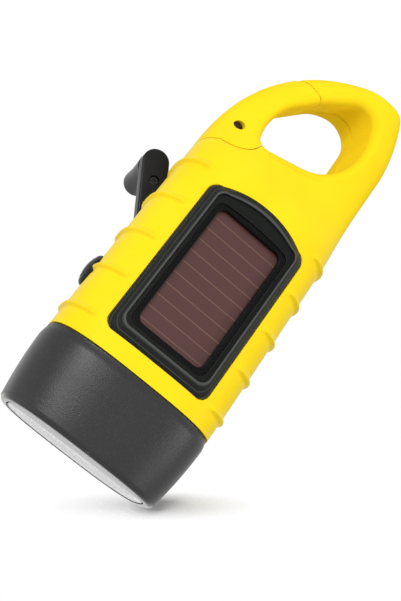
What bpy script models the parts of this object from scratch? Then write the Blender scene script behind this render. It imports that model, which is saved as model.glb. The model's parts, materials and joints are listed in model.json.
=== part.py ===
"""Hand crank flashlight with a solar panel and a hook that clips on, in metres.

+Z runs along the body from the lens to the hook, the solar panel faces -Y and the crank is at +Y.
The origin is the middle of the lens's flat outer face.
"""
import math

import bmesh
import bpy
import numpy as np

# Clearances
GAP = 0.0003
OVERRUN = 0.004
SIDES = 24
SMALL_SIDES = 12

# Body outline, seen from the front
TOTAL_LENGTH = 0.14151
HEAD_LENGTH = 0.0228
LENS_RECESS = 0.0012
BODY_HALF_WIDTH = 0.0262
BODY_HALF_DEPTH = 0.0176
HOOK_HALF_DEPTH = 0.0095
HOOK_NARROWING = 0.00124
APEX_X_SHARE = 0.6347
NARROWING_SHARE = 0.08760
LEFT_CURVE_SHARE = 0.5912
SHOULDER_SHARE = 0.51723
RIGHT_CURVE_SHARE = 0.8144
FRONT_SLOPE_SHARE = 0.21902
BACK_SLOPE_START_SHARE = 0.55935
BACK_SLOPE_SHARE = 0.13478
HOOK_EDGE_RADIUS = 0.003
LEFT_CURVE_POWER = 2.113
RIGHT_CURVE_POWER = 1.724
BODY_POWER = 3.0
HOOK_POWER = 2.6
RING_POINTS = 40
INNER_RING_POINTS = 24

# Grip ribs
RIB_COUNT = 5
RIB_FIRST_SHARE = 0.05223
RIB_PITCH_SHARE = 0.10952
RIB_HEIGHT = 0.0009
RIB_HALF_LENGTH = 0.0024
RIB_TOP_HALF_LENGTH = 0.0007
RIB_FADE_START_SHARE = 0.72
RIB_FADE_END_SHARE = 0.84

# Hook opening: each corner's X and radius in half widths and its Z in body lengths, anticlockwise
OPENING_FRONT_SHARES = (
    (-0.5573, 0.65451, 0.1374),
    (0.5038, 0.69999, 0.3244),
    (0.4657, 0.92324, 0.1527),
    (-0.0382, 0.88784, 0.7634),
    (-0.5420, 0.75726, 0.4580),
)
OPENING_BACK_SHARES = (
    (-0.5573, 0.65451, 0.1374),
    (0.4657, 0.69838, 0.3244),
    (0.4466, 0.95107, 0.1718),
    (-0.1336, 0.89883, 0.5725),
    (-0.5191, 0.78681, 0.3435),
)
OPENING_FRONT_ROUND = 0.0020
OPENING_BACK_ROUND = 0.0008
OPENING_CORNER_STEPS = 6
ROUND_STEPS = 4

# Shells
SPLIT_Y = 0.003
WALL = 0.0023
CAVITY_TOP_SHARE = 0.53828
SPIGOT_LENGTH = 0.0070
SPIGOT_WALL = 0.0019
SPIGOT_FLOOR = 0.0016

# Head
HEAD_STEP_WIDTH = 0.0004
HEAD_STEP_DEPTH = 0.0005
HEAD_SHOULDER_DROP = 0.0004
HEAD_SHOULDER_SHARE = 0.12
RIM_TAPER_WIDTH = 0.0024
RIM_TAPER_DEPTH = 0.0009
RIM_EDGE_RADIUS = 0.0012
RIM_LIP = 0.0023
HEAD_POWER = 2.8
HEAD_CURVE_POWER = 1.9
HEAD_RINGS = 6
LENS_THICKNESS = 0.0015
SEAL_THICKNESS = 0.0008
SEAL_WIDTH = 0.0011
LEDGE_THICKNESS = 0.0011
REFLECTOR_DEPTH = 0.0074
REFLECTOR_WALL = 0.0009
REFLECTOR_FLOOR_HALF_WIDTH = 0.0125
REFLECTOR_FLOOR_HALF_DEPTH = 0.0046
REFLECTOR_LIP = 0.0012
REFLECTOR_STEPS = 5
LED_RADIUS = 0.0025
LED_FLANGE = 0.0004
LED_FLANGE_HEIGHT = 0.0010
LED_HEIGHT = 0.0078
LED_PITCH = 0.0082
LED_BOARD_THICKNESS = 0.0014

# Solar panel
FRAME_BOTTOM_SHARE = 0.04633
FRAME_TOP_SHARE = 0.48943
FRAME_WIDTH_SHARE = 0.62977
FRAME_TOP_SAG = 0.0031
FRAME_CORNER_RADIUS = 0.0030
FRAME_SIDE_INSET = 0.0058
FRAME_BOTTOM_INSET = 0.0060
FRAME_TOP_INSET = 0.0074
FRAME_OPENING_RADIUS = 0.0023
FRAME_CREST = 0.0009
FRAME_STEP_DEPTH = 0.0009
FRAME_PROUD = 0.0002
FRAME_CORNER_STEPS = 5
FRAME_ARC_STEPS = 10
CELL_DEPTH = 0.0026
CELL_LAP = 0.0018
CELL_THICKNESS = 0.0020
TRAY_FLOOR_SHARE = 0.10227
TRAY_WALL = 0.0017

# Hook gate
GATE_PIVOT_X_SHARE = 0.76718
GATE_PIVOT_Z_SHARE = 0.64948
GATE_ROOT_SHARE = 0.31679
GATE_REACH_SHARE = 0.23839
GATE_HEEL_SLOPE = 0.32
GATE_HEEL_TURN = math.radians(-104.0)
GATE_ROOT_END_TURN = math.radians(12.0)
GATE_TIP_INNER_TURN = math.radians(54.0)
GATE_TIP_OUTER_TURN = math.radians(84.0)
GATE_ARC_STEPS = 12
GATE_PIN_RADIUS = 0.0014
GATE_PIN_RECESS = 0.0016
TONGUE_SHARE = 0.62651
TONGUE_NECK_SHARE = 0.40964
TONGUE_FRONT_Y = -0.0026
TONGUE_BACK_Y = 0.0002
SPRING_SPACE = 0.0027
SPRING_WIRE_RADIUS = 0.00025
SPRING_COIL_RADIUS = 0.0024
SPRING_TURNS = 3

# Crank
CRANK_Z_SHARE = 0.11540
CRANK_LENGTH = 0.0594
CRANK_REST_ANGLE = math.radians(-31.4)
SHAFT_RADIUS = 0.0025
SHAFT_FLAT = 0.0006
BUSH_WALL = 0.0014
BUSH_FLANGE = 0.0016
BUSH_FLANGE_THICKNESS = 0.0012
HUB_RADIUS = 0.0075
LAND_RADIUS = 0.0088
LAND_HEIGHT = 0.0002
HUB_DISC = 0.0016
ARM_THICKNESS = 0.0045
ARM_HALF_WIDTH = 0.0043
ARM_NECK_HALF_WIDTH = 0.0030
ARM_NECK_LENGTH = 0.0034
ARM_EDGE = 0.0005
EAR_THICKNESS = 0.0020
FOLD_PIN_RADIUS = 0.0009
KNOB_LENGTH = 0.0200
KNOB_RADIUS = 0.0044
KNOB_WAIST_SHARE = 0.94
KNOB_PIN_RADIUS = 0.0014
KNOB_POCKET_CLEARANCE = 0.0004
ARM_SCREW_OFFSET = 0.0060
ARM_SCREW_RADIUS = 0.0013
ARM_SCREW_RECESS = 0.0007

# Gear train: the tooth module and the plate's places are shares of the plate's half width
PLATE_LENGTH_SHARE = 0.10952
MODULE_SHARE = 0.046154
WHEEL_ADDENDUM_SHARE = 0.6
PINION_ADDENDUM_SHARE = 0.8
DEDENDUM_SHARE = 1.1
TOOTH_SHARE = 0.42
PRESSURE_ANGLE = math.radians(20.0)
DRIVE_TEETH = 40
WHEEL_TEETH = 30
PINION_TEETH = 10
FIRST_LEAN_SHARE = 0.6
SECOND_LEAN_SHARE = -0.75
ROTOR_LEAN_SHARE = -0.5
AXLE_RADIUS = 0.0010
PLATE_THICKNESS = 0.0016
PLATE_BOTTOM_SHARE = -0.8923
PLATE_TOP_SHARE = 3.1692
GEAR_CLEARANCE = 0.0008
WHEEL_THICKNESS = 0.0022
DRIVE_THICKNESS = 0.0030
POST_RADIUS_SHARE = 0.1462
PLATE_SCREW_SHARE = 0.4211
PLATE_SCREW_HEAD_THICKNESS = 0.0010
PLATE_SCREW_DEPTH = 0.0050
POST_PLACE_SHARES = (
    (-0.8308, -0.7462),
    (0.8308, -0.7462),
    (-0.8154, 0.9923),
    (0.8308, 2.2846),
)

# Generator
GENERATOR_RADIUS_SHARE = 0.7692
GENERATOR_WALL = 0.0008
GENERATOR_CLEARANCE = 0.0004
COIL_THICKNESS = 0.0028
ROTOR_SHAFT_RADIUS = 0.0009

# Electrics
BOARD_THICKNESS = 0.0016
BOARD_WIDTH_SHARE = 1.1923
BOARD_BOTTOM_SHARE = -0.1769
BOARD_TOP_SHARE = 1.5154
BATTERY_RADIUS_SHARE = 0.7692
BATTERY_THICKNESS_SHARE = 0.4324
BATTERY_Z_SHARE = 0.7077
CLIP_THICKNESS = 0.0005
CLIP_WIDTH = 0.0060

# Push button
BUTTON_Z_SHARE = 0.16342
BUTTON_RADIUS = 0.0051
BUTTON_RISE = 0.0020
BUTTON_FLANGE = 0.0010
BUTTON_FLANGE_SHARE = 0.03817
BUTTON_STEM_RADIUS = 0.0016
BUTTON_STEM_SHARE = 0.06870
BUTTON_TRAVEL = 0.0012
PLUNGER_RADIUS = 0.0013
PLUNGER_SHARE = 0.11450
SWITCH_HALF_SIZE = 0.0030
SWITCH_WALL_SHARE = 0.0229
SWITCH_BOARD_SHARE = 0.0458
SWITCH_CLEARANCE = 0.0006
SWITCH_BOARD_HALF_HEIGHT = 0.0050

# Housing screws
SCREW_HEAD_RADIUS = 0.0026
SCREW_HEAD_THICKNESS = 0.0016
SCREW_SHANK_RADIUS = 0.0013
SCREW_SEAT_Y = 0.0075
SCREW_DEPTH = 0.0125
BOSS_RADIUS = 0.0038
LOW_SCREW_SHARES = (0.65649, 0.05055)
HIGH_SCREW_SHARES = (0.62977, 0.50038)
HOOK_SCREW_SHARES = (0.68702, 0.82049)
HOOK_SCREW_SEAT_Y = 0.0060
HOOK_SCREW_DEPTH = 0.0090

# Places that follow from the sizes above
RIM_Z = -LENS_RECESS
JOINT_Z = HEAD_LENGTH - LENS_RECESS
APEX_Z = TOTAL_LENGTH - LENS_RECESS
BODY_LENGTH = APEX_Z - JOINT_Z
APEX_X = BODY_HALF_WIDTH * APEX_X_SHARE
NARROWING_Z = JOINT_Z + BODY_LENGTH * NARROWING_SHARE
LEFT_CURVE_Z = JOINT_Z + BODY_LENGTH * LEFT_CURVE_SHARE
SHOULDER_Z = JOINT_Z + BODY_LENGTH * SHOULDER_SHARE
RIGHT_CURVE_Z = JOINT_Z + BODY_LENGTH * RIGHT_CURVE_SHARE
FRONT_SLOPE_LENGTH = BODY_LENGTH * FRONT_SLOPE_SHARE
BACK_SLOPE_Z = JOINT_Z + BODY_LENGTH * BACK_SLOPE_START_SHARE
BACK_SLOPE_LENGTH = BODY_LENGTH * BACK_SLOPE_SHARE
RIB_FIRST_Z = JOINT_Z + BODY_LENGTH * RIB_FIRST_SHARE
RIB_PITCH = BODY_LENGTH * RIB_PITCH_SHARE
CAVITY_TOP_Z = JOINT_Z + BODY_LENGTH * CAVITY_TOP_SHARE
HEAD_HALF_WIDTH = BODY_HALF_WIDTH + HEAD_STEP_WIDTH
HEAD_HALF_DEPTH = BODY_HALF_DEPTH + HEAD_STEP_DEPTH
RIM_HALF_WIDTH = HEAD_HALF_WIDTH - RIM_TAPER_WIDTH
RIM_HALF_DEPTH = HEAD_HALF_DEPTH - RIM_TAPER_DEPTH
FRAME_BOTTOM_Z = JOINT_Z + BODY_LENGTH * FRAME_BOTTOM_SHARE
FRAME_TOP_Z = JOINT_Z + BODY_LENGTH * FRAME_TOP_SHARE
FRAME_HALF_WIDTH = BODY_HALF_WIDTH * FRAME_WIDTH_SHARE
GATE_PIVOT_X = -BODY_HALF_WIDTH * GATE_PIVOT_X_SHARE
GATE_PIVOT_Z = JOINT_Z + BODY_LENGTH * GATE_PIVOT_Z_SHARE
GATE_ROOT_RADIUS = BODY_HALF_WIDTH * GATE_ROOT_SHARE
GATE_REACH = BODY_LENGTH * GATE_REACH_SHARE
TONGUE_RADIUS = GATE_ROOT_RADIUS * TONGUE_SHARE
TONGUE_NECK_HALF_WIDTH = GATE_ROOT_RADIUS * TONGUE_NECK_SHARE
CRANK_Z = JOINT_Z + BODY_LENGTH * CRANK_Z_SHARE
BUTTON_Z = JOINT_Z + BODY_LENGTH * BUTTON_Z_SHARE
WALL_X = -BODY_HALF_WIDTH + WALL
FLANGE_START_X = WALL_X + GAP + GAP
FLANGE_END_X = FLANGE_START_X + BODY_HALF_WIDTH * BUTTON_FLANGE_SHARE
STEM_END_X = FLANGE_END_X + BODY_HALF_WIDTH * BUTTON_STEM_SHARE
PLUNGER_START_X = STEM_END_X + GAP
PLUNGER_END_X = PLUNGER_START_X + BODY_HALF_WIDTH * PLUNGER_SHARE
SWITCH_BORE_END_X = PLUNGER_END_X + BUTTON_TRAVEL + GAP
SWITCH_END_X = SWITCH_BORE_END_X + BODY_HALF_WIDTH * SWITCH_WALL_SHARE
SWITCH_BOARD_END_X = SWITCH_END_X + GAP + BODY_HALF_WIDTH * SWITCH_BOARD_SHARE
PLATE_HALF_WIDTH = min(-SWITCH_BOARD_END_X - SWITCH_CLEARANCE, BODY_LENGTH * PLATE_LENGTH_SHARE)
MODULE = PLATE_HALF_WIDTH * MODULE_SHARE
POST_RADIUS = PLATE_HALF_WIDTH * POST_RADIUS_SHARE
PLATE_SCREW_RADIUS = POST_RADIUS * PLATE_SCREW_SHARE
GENERATOR_RADIUS = PLATE_HALF_WIDTH * GENERATOR_RADIUS_SHARE
BOARD_HALF_WIDTH = PLATE_HALF_WIDTH * BOARD_WIDTH_SHARE
BATTERY_RADIUS = PLATE_HALF_WIDTH * BATTERY_RADIUS_SHARE
BATTERY_Z = CRANK_Z + PLATE_HALF_WIDTH * BATTERY_Z_SHARE
SPIGOT_Z = JOINT_Z - SPIGOT_LENGTH
REAR_Y = SPLIT_Y + GAP / 2
FRONT_Y = SPLIT_Y - GAP / 2
LAND_Y = BODY_HALF_DEPTH + LAND_HEIGHT
HUB_Y = LAND_Y + GAP
ARM_Y = HUB_Y + HUB_DISC + GAP
FOLD_Y = ARM_Y + ARM_THICKNESS / 2
PLATE_BACK_Y = 0.0
FAR = TOTAL_LENGTH


def material(name, colour, roughness, metallic=0.0, transmission=0.0):
    """A Principled BSDF material."""
    made = bpy.data.materials.new(name)
    made.use_nodes = True
    shader = made.node_tree.nodes["Principled BSDF"]
    shader.inputs["Base Color"].default_value = (*colour, 1.0)
    shader.inputs["Roughness"].default_value = roughness
    shader.inputs["Metallic"].default_value = metallic
    shader.inputs["Transmission Weight"].default_value = transmission
    made.diffuse_color = (*colour, 1.0)
    return made


def make_materials():
    """Every material of the flashlight, by name."""
    return {
        "yellow_plastic": material("yellow_plastic", (0.98, 0.78, 0.02), 0.38),
        "black_plastic": material("black_plastic", (0.045, 0.045, 0.045), 0.5),
        "clear_lens": material("clear_lens", (0.95, 0.96, 0.97), 0.04, 0.0, 1.0),
        "soft_seal": material("soft_seal", (0.03, 0.03, 0.03), 0.7),
        "mirror_silver": material("mirror_silver", (0.86, 0.86, 0.87), 0.12, 1.0),
        "led_epoxy": material("led_epoxy", (0.92, 0.93, 0.9), 0.08, 0.0, 0.6),
        "solar_cell": material("solar_cell", (0.115, 0.05, 0.05), 0.25),
        "circuit_board": material("circuit_board", (0.02, 0.18, 0.07), 0.5),
        "steel": material("steel", (0.6, 0.6, 0.62), 0.3, 1.0),
        "copper_coil": material("copper_coil", (0.72, 0.33, 0.14), 0.35, 1.0),
        "magnet": material("magnet", (0.16, 0.16, 0.17), 0.4, 0.6),
        "white_gear": material("white_gear", (0.82, 0.81, 0.77), 0.4),
        "brass": material("brass", (0.75, 0.55, 0.22), 0.3, 1.0),
    }


def finish_mesh(name, work, paint, crease_degrees=35.0):
    """Turns a bmesh into a named object with outward faces, smooth across gentle edges."""
    bmesh.ops.recalc_face_normals(work, faces=work.faces)
    mesh = bpy.data.meshes.new(name)
    work.to_mesh(mesh)
    work.free()
    mesh.shade_smooth()
    mesh.set_sharp_from_angle(angle=math.radians(crease_degrees))
    made = bpy.data.objects.new(name, mesh)
    bpy.context.collection.objects.link(made)
    if paint is not None:
        mesh.materials.append(paint)
    return made


def loft(name, rings, paint=None, closed=False):
    """A solid through rings of equal point count: capped at both ends, or closed on itself."""
    rings = np.asarray(rings, dtype=float)
    work = bmesh.new()
    rows = [[work.verts.new(point) for point in ring] for ring in rings]
    pairs = list(zip(rows, rows[1:]))
    if closed:
        pairs.append((rows[-1], rows[0]))
    for low, high in pairs:
        for index, start in enumerate(low):
            following = (index + 1) % len(low)
            work.faces.new((start, low[following], high[following], high[index]))
    if not closed:
        work.faces.new(rows[0])
        work.faces.new(rows[-1])
    return finish_mesh(name, work, paint)


def circle(radius, sides):
    """Points of a circle round the origin."""
    turn = np.linspace(0.0, 2.0 * math.pi, sides, endpoint=False)
    return np.stack((radius * np.cos(turn), radius * np.sin(turn)), axis=1)


def lay(points, axis, height):
    """Puts plane points at a height along Y, X or Z."""
    level = np.full(len(points), height)
    first, second = points[:, 0], points[:, 1]
    order = {"Y": (first, level, second), "X": (level, first, second), "Z": (first, second, level)}
    return np.stack(order[axis], axis=1)


def turned(name, profile, centre, axis="Y", paint=None, sides=SIDES, closed=False):
    """A solid turned about an axis through a centre, from (radius, height) pairs."""
    rings = [lay(circle(radius, sides) + np.array(centre), axis, height) for radius, height in profile]
    return loft(name, rings, paint, closed)


def rod(name, radius, start, end, centre, axis="Y", paint=None, sides=SIDES):
    """A plain cylinder along an axis."""
    return turned(name, ((radius, start), (radius, end)), centre, axis, paint, sides)


def tube(name, outer, inner, start, end, centre, axis="Y", paint=None, sides=SIDES):
    """A cylinder with a through bore."""
    profile = ((outer, start), (outer, end), (inner, end), (inner, start))
    return turned(name, profile, centre, axis, paint, sides, closed=True)


def prism(name, outline, start, end, paint=None):
    """An outline in X and Z, extruded along Y."""
    outline = np.asarray(outline, dtype=float)
    return loft(name, (lay(outline, "Y", start), lay(outline, "Y", end)), paint)


def block(name, low, high, paint=None):
    """A rectangular block between two corners."""
    outline = ((low[0], low[2]), (high[0], low[2]), (high[0], high[2]), (low[0], high[2]))
    return prism(name, outline, low[1], high[1], paint)


def duplicate(source, name):
    """A copy of an object with a mesh of its own."""
    made = source.copy()
    made.data = source.data.copy()
    made.name = name
    bpy.context.collection.objects.link(made)
    return made


def combine(target, tool, operation, keep_tool=False):
    """Applies a boolean and, unless told otherwise, removes the tool."""
    modifier = target.modifiers.new("combine", "BOOLEAN")
    modifier.operation = operation
    modifier.object = tool
    modifier.solver = "EXACT"
    bpy.context.view_layer.update()
    graph = bpy.context.evaluated_depsgraph_get()
    mesh = bpy.data.meshes.new_from_object(target.evaluated_get(graph))
    target.modifiers.clear()
    target.data = mesh
    mesh.shade_smooth()
    mesh.set_sharp_from_angle(angle=math.radians(35.0))
    if not keep_tool:
        bpy.data.objects.remove(tool)
    return target


def cut(target, *tools):
    """Takes each tool away from the target."""
    for tool in tools:
        combine(target, tool, "DIFFERENCE")
    return target


def join(target, *tools):
    """Adds each tool to the target."""
    for tool in tools:
        combine(target, tool, "UNION")
    return target


def smooth_step(value, start, end):
    """Rises smoothly from 0 at the start to 1 at the end."""
    share = np.clip((np.asarray(value) - start) / (end - start), 0.0, 1.0)
    return share * share * (3.0 - 2.0 * share)


def arch(rise, power):
    """Quarter of a superellipse: 1 at no rise, 0 at full rise."""
    return (1.0 - np.clip(rise, 0.0, 1.0) ** power) ** (1.0 / power)


def side_limits(z):
    """Left and right edge of the yellow body at a height."""
    left_rise = (z - LEFT_CURVE_Z) / (APEX_Z - LEFT_CURVE_Z)
    right_rise = (z - RIGHT_CURVE_Z) / (APEX_Z - RIGHT_CURVE_Z)
    narrowing = np.clip((z - NARROWING_Z) / (LEFT_CURVE_Z - NARROWING_Z), 0.0, 1.0)
    right_reach = BODY_HALF_WIDTH - HOOK_NARROWING * narrowing
    left = APEX_X - (APEX_X + BODY_HALF_WIDTH) * arch(left_rise, LEFT_CURVE_POWER)
    right = APEX_X + (right_reach - APEX_X) * arch(right_rise, RIGHT_CURVE_POWER)
    return left, right


def depth_limits(z):
    """Front and back depth of the yellow body at a height, on its middle line."""
    thinning = BODY_HALF_DEPTH - HOOK_HALF_DEPTH
    crown = arch((z - APEX_Z + HOOK_EDGE_RADIUS) / HOOK_EDGE_RADIUS, 2.0)
    front = BODY_HALF_DEPTH - thinning * smooth_step(z, FRAME_TOP_Z, FRAME_TOP_Z + FRONT_SLOPE_LENGTH)
    back = BODY_HALF_DEPTH - thinning * smooth_step(z, BACK_SLOPE_Z, BACK_SLOPE_Z + BACK_SLOPE_LENGTH)
    return front * crown, back * crown


def roundness(z):
    """Superellipse power of the body's section at a height."""
    return BODY_POWER + (HOOK_POWER - BODY_POWER) * smooth_step(z, SHOULDER_Z, RIGHT_CURVE_Z)


def surface_depth(x, z, side):
    """Depth of the body's surface at a place, on the front (-1) or the back (+1)."""
    left, right = side_limits(z)
    front, back = depth_limits(z)
    across = np.abs(x - (left + right) / 2) / ((right - left) / 2)
    return (front if side < 0 else back) * arch(across, roundness(z))


def superellipse(half_width, front, back, power, count=RING_POINTS):
    """Section points, with its own depth to the front and to the back."""
    turn = np.linspace(0.0, 2.0 * math.pi, count, endpoint=False)
    across, deep = np.cos(turn), np.sin(turn)
    x = half_width * np.sign(across) * np.abs(across) ** (2.0 / power)
    y = np.where(deep < 0, front, back) * np.sign(deep) * np.abs(deep) ** (2.0 / power)
    return np.stack((x, y), axis=1)


def rib_lift(z):
    """Height of the grip ribs at a height, before they fade towards the panel."""
    centres = RIB_FIRST_Z + RIB_PITCH * np.arange(RIB_COUNT)
    distance = np.abs(z - centres).min()
    return RIB_HEIGHT * (1.0 - smooth_step(distance, RIB_TOP_HALF_LENGTH, RIB_HALF_LENGTH))


def body_ring(z):
    """One section of the yellow body, ribs included."""
    left, right = side_limits(z)
    front, back = depth_limits(z)
    half_width = (right - left) / 2
    power = roundness(z)
    flat = superellipse(half_width, front, back, power)
    depth = np.where(flat[:, 1] < 0, front, back)
    normal = np.stack(
        (
            np.sign(flat[:, 0]) * np.abs(flat[:, 0] / half_width) ** (power - 1.0) / half_width,
            np.sign(flat[:, 1]) * np.abs(flat[:, 1] / depth) ** (power - 1.0) / depth,
        ),
        axis=1,
    )
    normal /= np.linalg.norm(normal, axis=1, keepdims=True)
    spread = np.abs(flat[:, 0]) / half_width
    fade = smooth_step(spread, RIB_FADE_START_SHARE, RIB_FADE_END_SHARE)
    flat = flat + normal * (rib_lift(z) * fade)[:, None]
    flat[:, 0] += (left + right) / 2
    return lay(flat, "Z", z)


def body_levels():
    """Heights of the body's sections: close at the ribs and at the hook's top."""
    levels = [JOINT_Z]
    for index in range(RIB_COUNT):
        centre = RIB_FIRST_Z + RIB_PITCH * index
        for step in (-RIB_HALF_LENGTH, -RIB_TOP_HALF_LENGTH, RIB_TOP_HALF_LENGTH, RIB_HALF_LENGTH):
            levels.append(centre + step)
    top_start = APEX_Z - HOOK_EDGE_RADIUS
    levels += list(np.linspace(levels[-1], LEFT_CURVE_Z, 4)[1:])
    rise_shares = np.sin(np.linspace(0.0, math.pi / 2, 12))[1:]
    levels += list(LEFT_CURVE_Z + (top_start - LEFT_CURVE_Z) * rise_shares)
    for turn in np.radians((20.0, 38.0, 54.0, 68.0, 80.0)):
        levels.append(top_start + HOOK_EDGE_RADIUS * math.sin(turn))
    return levels


def rounded_outline(corners, steps, grow):
    """A polygon with rounded corners, grown outwards, with equal steps on each corner."""
    places = np.array([(x, z) for x, z, radius in corners])
    radii = [radius for x, z, radius in corners]
    points = []
    for index, corner in enumerate(places):
        before = places[index - 1] - corner
        after = places[(index + 1) % len(places)] - corner
        before /= np.linalg.norm(before)
        after /= np.linalg.norm(after)
        half = math.acos(np.clip(before @ after, -1.0, 1.0)) / 2
        inward = (before + after) / np.linalg.norm(before + after)
        middle = corner + inward * radii[index] / math.sin(half)
        start = math.atan2(before[0], -before[1])
        end = math.atan2(-after[0], after[1])
        if end < start:
            end += 2.0 * math.pi
        for turn in np.linspace(start, end, steps):
            points.append(middle + (radii[index] + grow) * np.array((math.cos(turn), math.sin(turn))))
    return np.array(points)


def opening_tool():
    """The hook's opening, flared at the front and back so that its edges come out rounded."""
    rings = []
    turns = np.linspace(0.0, math.pi / 2, ROUND_STEPS + 1)
    faces = ((-1, OPENING_FRONT_ROUND, OPENING_FRONT_SHARES), (1, OPENING_BACK_ROUND, OPENING_BACK_SHARES))
    for side, radius, shares in faces:
        corners = [
            (BODY_HALF_WIDTH * x, JOINT_Z + BODY_LENGTH * z, BODY_HALF_WIDTH * bend) for x, z, bend in shares
        ]
        stack = []
        for turn in turns:
            outline = rounded_outline(corners, OPENING_CORNER_STEPS, radius * (1.0 - math.sin(turn)))
            depth = np.array([float(surface_depth(x, z, side)) for x, z in outline])
            level = side * (depth - radius * (1.0 - math.cos(turn)))
            stack.append(np.stack((outline[:, 0], level, outline[:, 1]), axis=1))
        outside = stack[0].copy()
        outside[:, 1] += side * OVERRUN
        stack.insert(0, outside)
        rings += stack if side < 0 else stack[::-1]
    return loft("opening_tool", rings)


def yellow_form():
    """The whole yellow body as one solid, with the hook's opening cut through."""
    form = loft("yellow_form", [body_ring(z) for z in body_levels()])
    return cut(form, opening_tool())


def grown_outline(points, distance):
    """An anticlockwise outline moved outwards by a distance, with sharp corners kept."""
    ahead = np.roll(points, -1, axis=0) - points
    ahead /= np.linalg.norm(ahead, axis=1, keepdims=True)
    normal = np.stack((ahead[:, 1], -ahead[:, 0]), axis=1)
    earlier = np.roll(normal, 1, axis=0)
    middle = normal + earlier
    return points + distance * middle * 2.0 / (middle ** 2).sum(axis=1, keepdims=True)


def gate_region(name, grow):
    """The space of the gate: heel and root circle below, arc about the pivot at the tip."""
    pivot = np.array((GATE_PIVOT_X, GATE_PIVOT_Z))
    heel = pivot + GATE_ROOT_RADIUS * np.array((math.cos(GATE_HEEL_TURN), math.sin(GATE_HEEL_TURN)))
    points = [heel - BODY_HALF_WIDTH * np.array((1.0, GATE_HEEL_SLOPE))]
    for turn in np.linspace(GATE_HEEL_TURN, GATE_ROOT_END_TURN, GATE_ARC_STEPS):
        points.append(pivot + GATE_ROOT_RADIUS * np.array((math.cos(turn), math.sin(turn))))
    for turn in np.linspace(GATE_TIP_INNER_TURN, GATE_TIP_OUTER_TURN, GATE_ARC_STEPS):
        points.append(pivot + GATE_REACH * np.array((math.cos(turn), math.sin(turn))))
    points.append(pivot + np.array((-BODY_HALF_WIDTH, GATE_REACH)))
    return prism(name, grown_outline(np.array(points), grow), -FAR, FAR)


def make_gate(form, paints):
    """The hook's gate: two cheeks at the root straddle the body's tongue."""
    pivot = (GATE_PIVOT_X, GATE_PIVOT_Z)
    gate = duplicate(form, "gate")
    combine(gate, gate_region("gate_space", 0.0), "INTERSECT")
    slot_front = TONGUE_FRONT_Y - GAP
    slot_back = TONGUE_BACK_Y + SPRING_SPACE
    slot_radius = TONGUE_RADIUS + GAP + GAP
    slot = rod("gate_slot", slot_radius, slot_front, slot_back, pivot)
    low = (GATE_PIVOT_X - TONGUE_NECK_HALF_WIDTH - GAP, slot_front, GATE_PIVOT_Z - FAR)
    join(slot, block("slot_low", low, (FAR, slot_back, GATE_PIVOT_Z)))
    bore = rod("gate_bore", GATE_PIN_RADIUS + GAP, -FAR, FAR, pivot, sides=SMALL_SIDES)
    cut(gate, slot, bore)
    gate.data.materials.clear()
    gate.data.materials.append(paints["yellow_plastic"])
    set_origin(gate, (GATE_PIVOT_X, 0.0, GATE_PIVOT_Z))
    half_length = float(surface_depth(GATE_PIVOT_X, GATE_PIVOT_Z, -1)) - GATE_PIN_RECESS
    rod("gate_pin", GATE_PIN_RADIUS, -half_length, half_length, pivot, "Y", paints["steel"], SMALL_SIDES)
    make_gate_spring(slot_radius, paints)


def make_gate_spring(slot_radius, paints):
    """A torsion spring round the gate's pin, one leg on the gate and one on the body."""
    per_turn = 10
    count = SPRING_TURNS * per_turn + 1
    start_y = TONGUE_BACK_Y + GAP + SPRING_WIRE_RADIUS
    end_y = TONGUE_BACK_Y + SPRING_SPACE - GAP - SPRING_WIRE_RADIUS
    turn = np.linspace(0.0, 2.0 * math.pi * SPRING_TURNS, count)
    height = np.linspace(start_y, end_y, count)
    coil = np.stack(
        (
            GATE_PIVOT_X + SPRING_COIL_RADIUS * np.cos(turn),
            height,
            GATE_PIVOT_Z + SPRING_COIL_RADIUS * np.sin(turn),
        ),
        axis=1,
    )
    body_leg = math.sqrt(GATE_ROOT_RADIUS ** 2 - SPRING_COIL_RADIUS ** 2) - SPRING_WIRE_RADIUS
    gate_leg = math.sqrt((slot_radius - GAP) ** 2 - SPRING_COIL_RADIUS ** 2) - SPRING_WIRE_RADIUS
    first = coil[0] + np.array((0.0, 0.0, -body_leg))
    last = coil[-1] + np.array((0.0, 0.0, gate_leg))
    route = np.vstack((first, coil, last))
    curve = bpy.data.curves.new("gate_spring", "CURVE")
    curve.dimensions = "3D"
    curve.bevel_depth = SPRING_WIRE_RADIUS
    curve.bevel_resolution = 1
    curve.use_fill_caps = True
    spline = curve.splines.new("POLY")
    spline.points.add(len(route) - 1)
    for point, place in zip(spline.points, route):
        point.co = (*place, 1.0)
    made = bpy.data.objects.new("gate_spring", curve)
    curve.materials.append(paints["steel"])
    bpy.context.collection.objects.link(made)


def set_origin(made, place):
    """Moves an object's origin without moving its shape."""
    shift = np.array(place)
    for vertex in made.data.vertices:
        vertex.co = np.array(vertex.co) - shift
    made.location = place


def scaled_ring(z, half_width, half_depth, power, count=RING_POINTS):
    """A centred superellipse section at a height."""
    return lay(superellipse(half_width, half_depth, half_depth, power, count), "Z", z)


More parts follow.
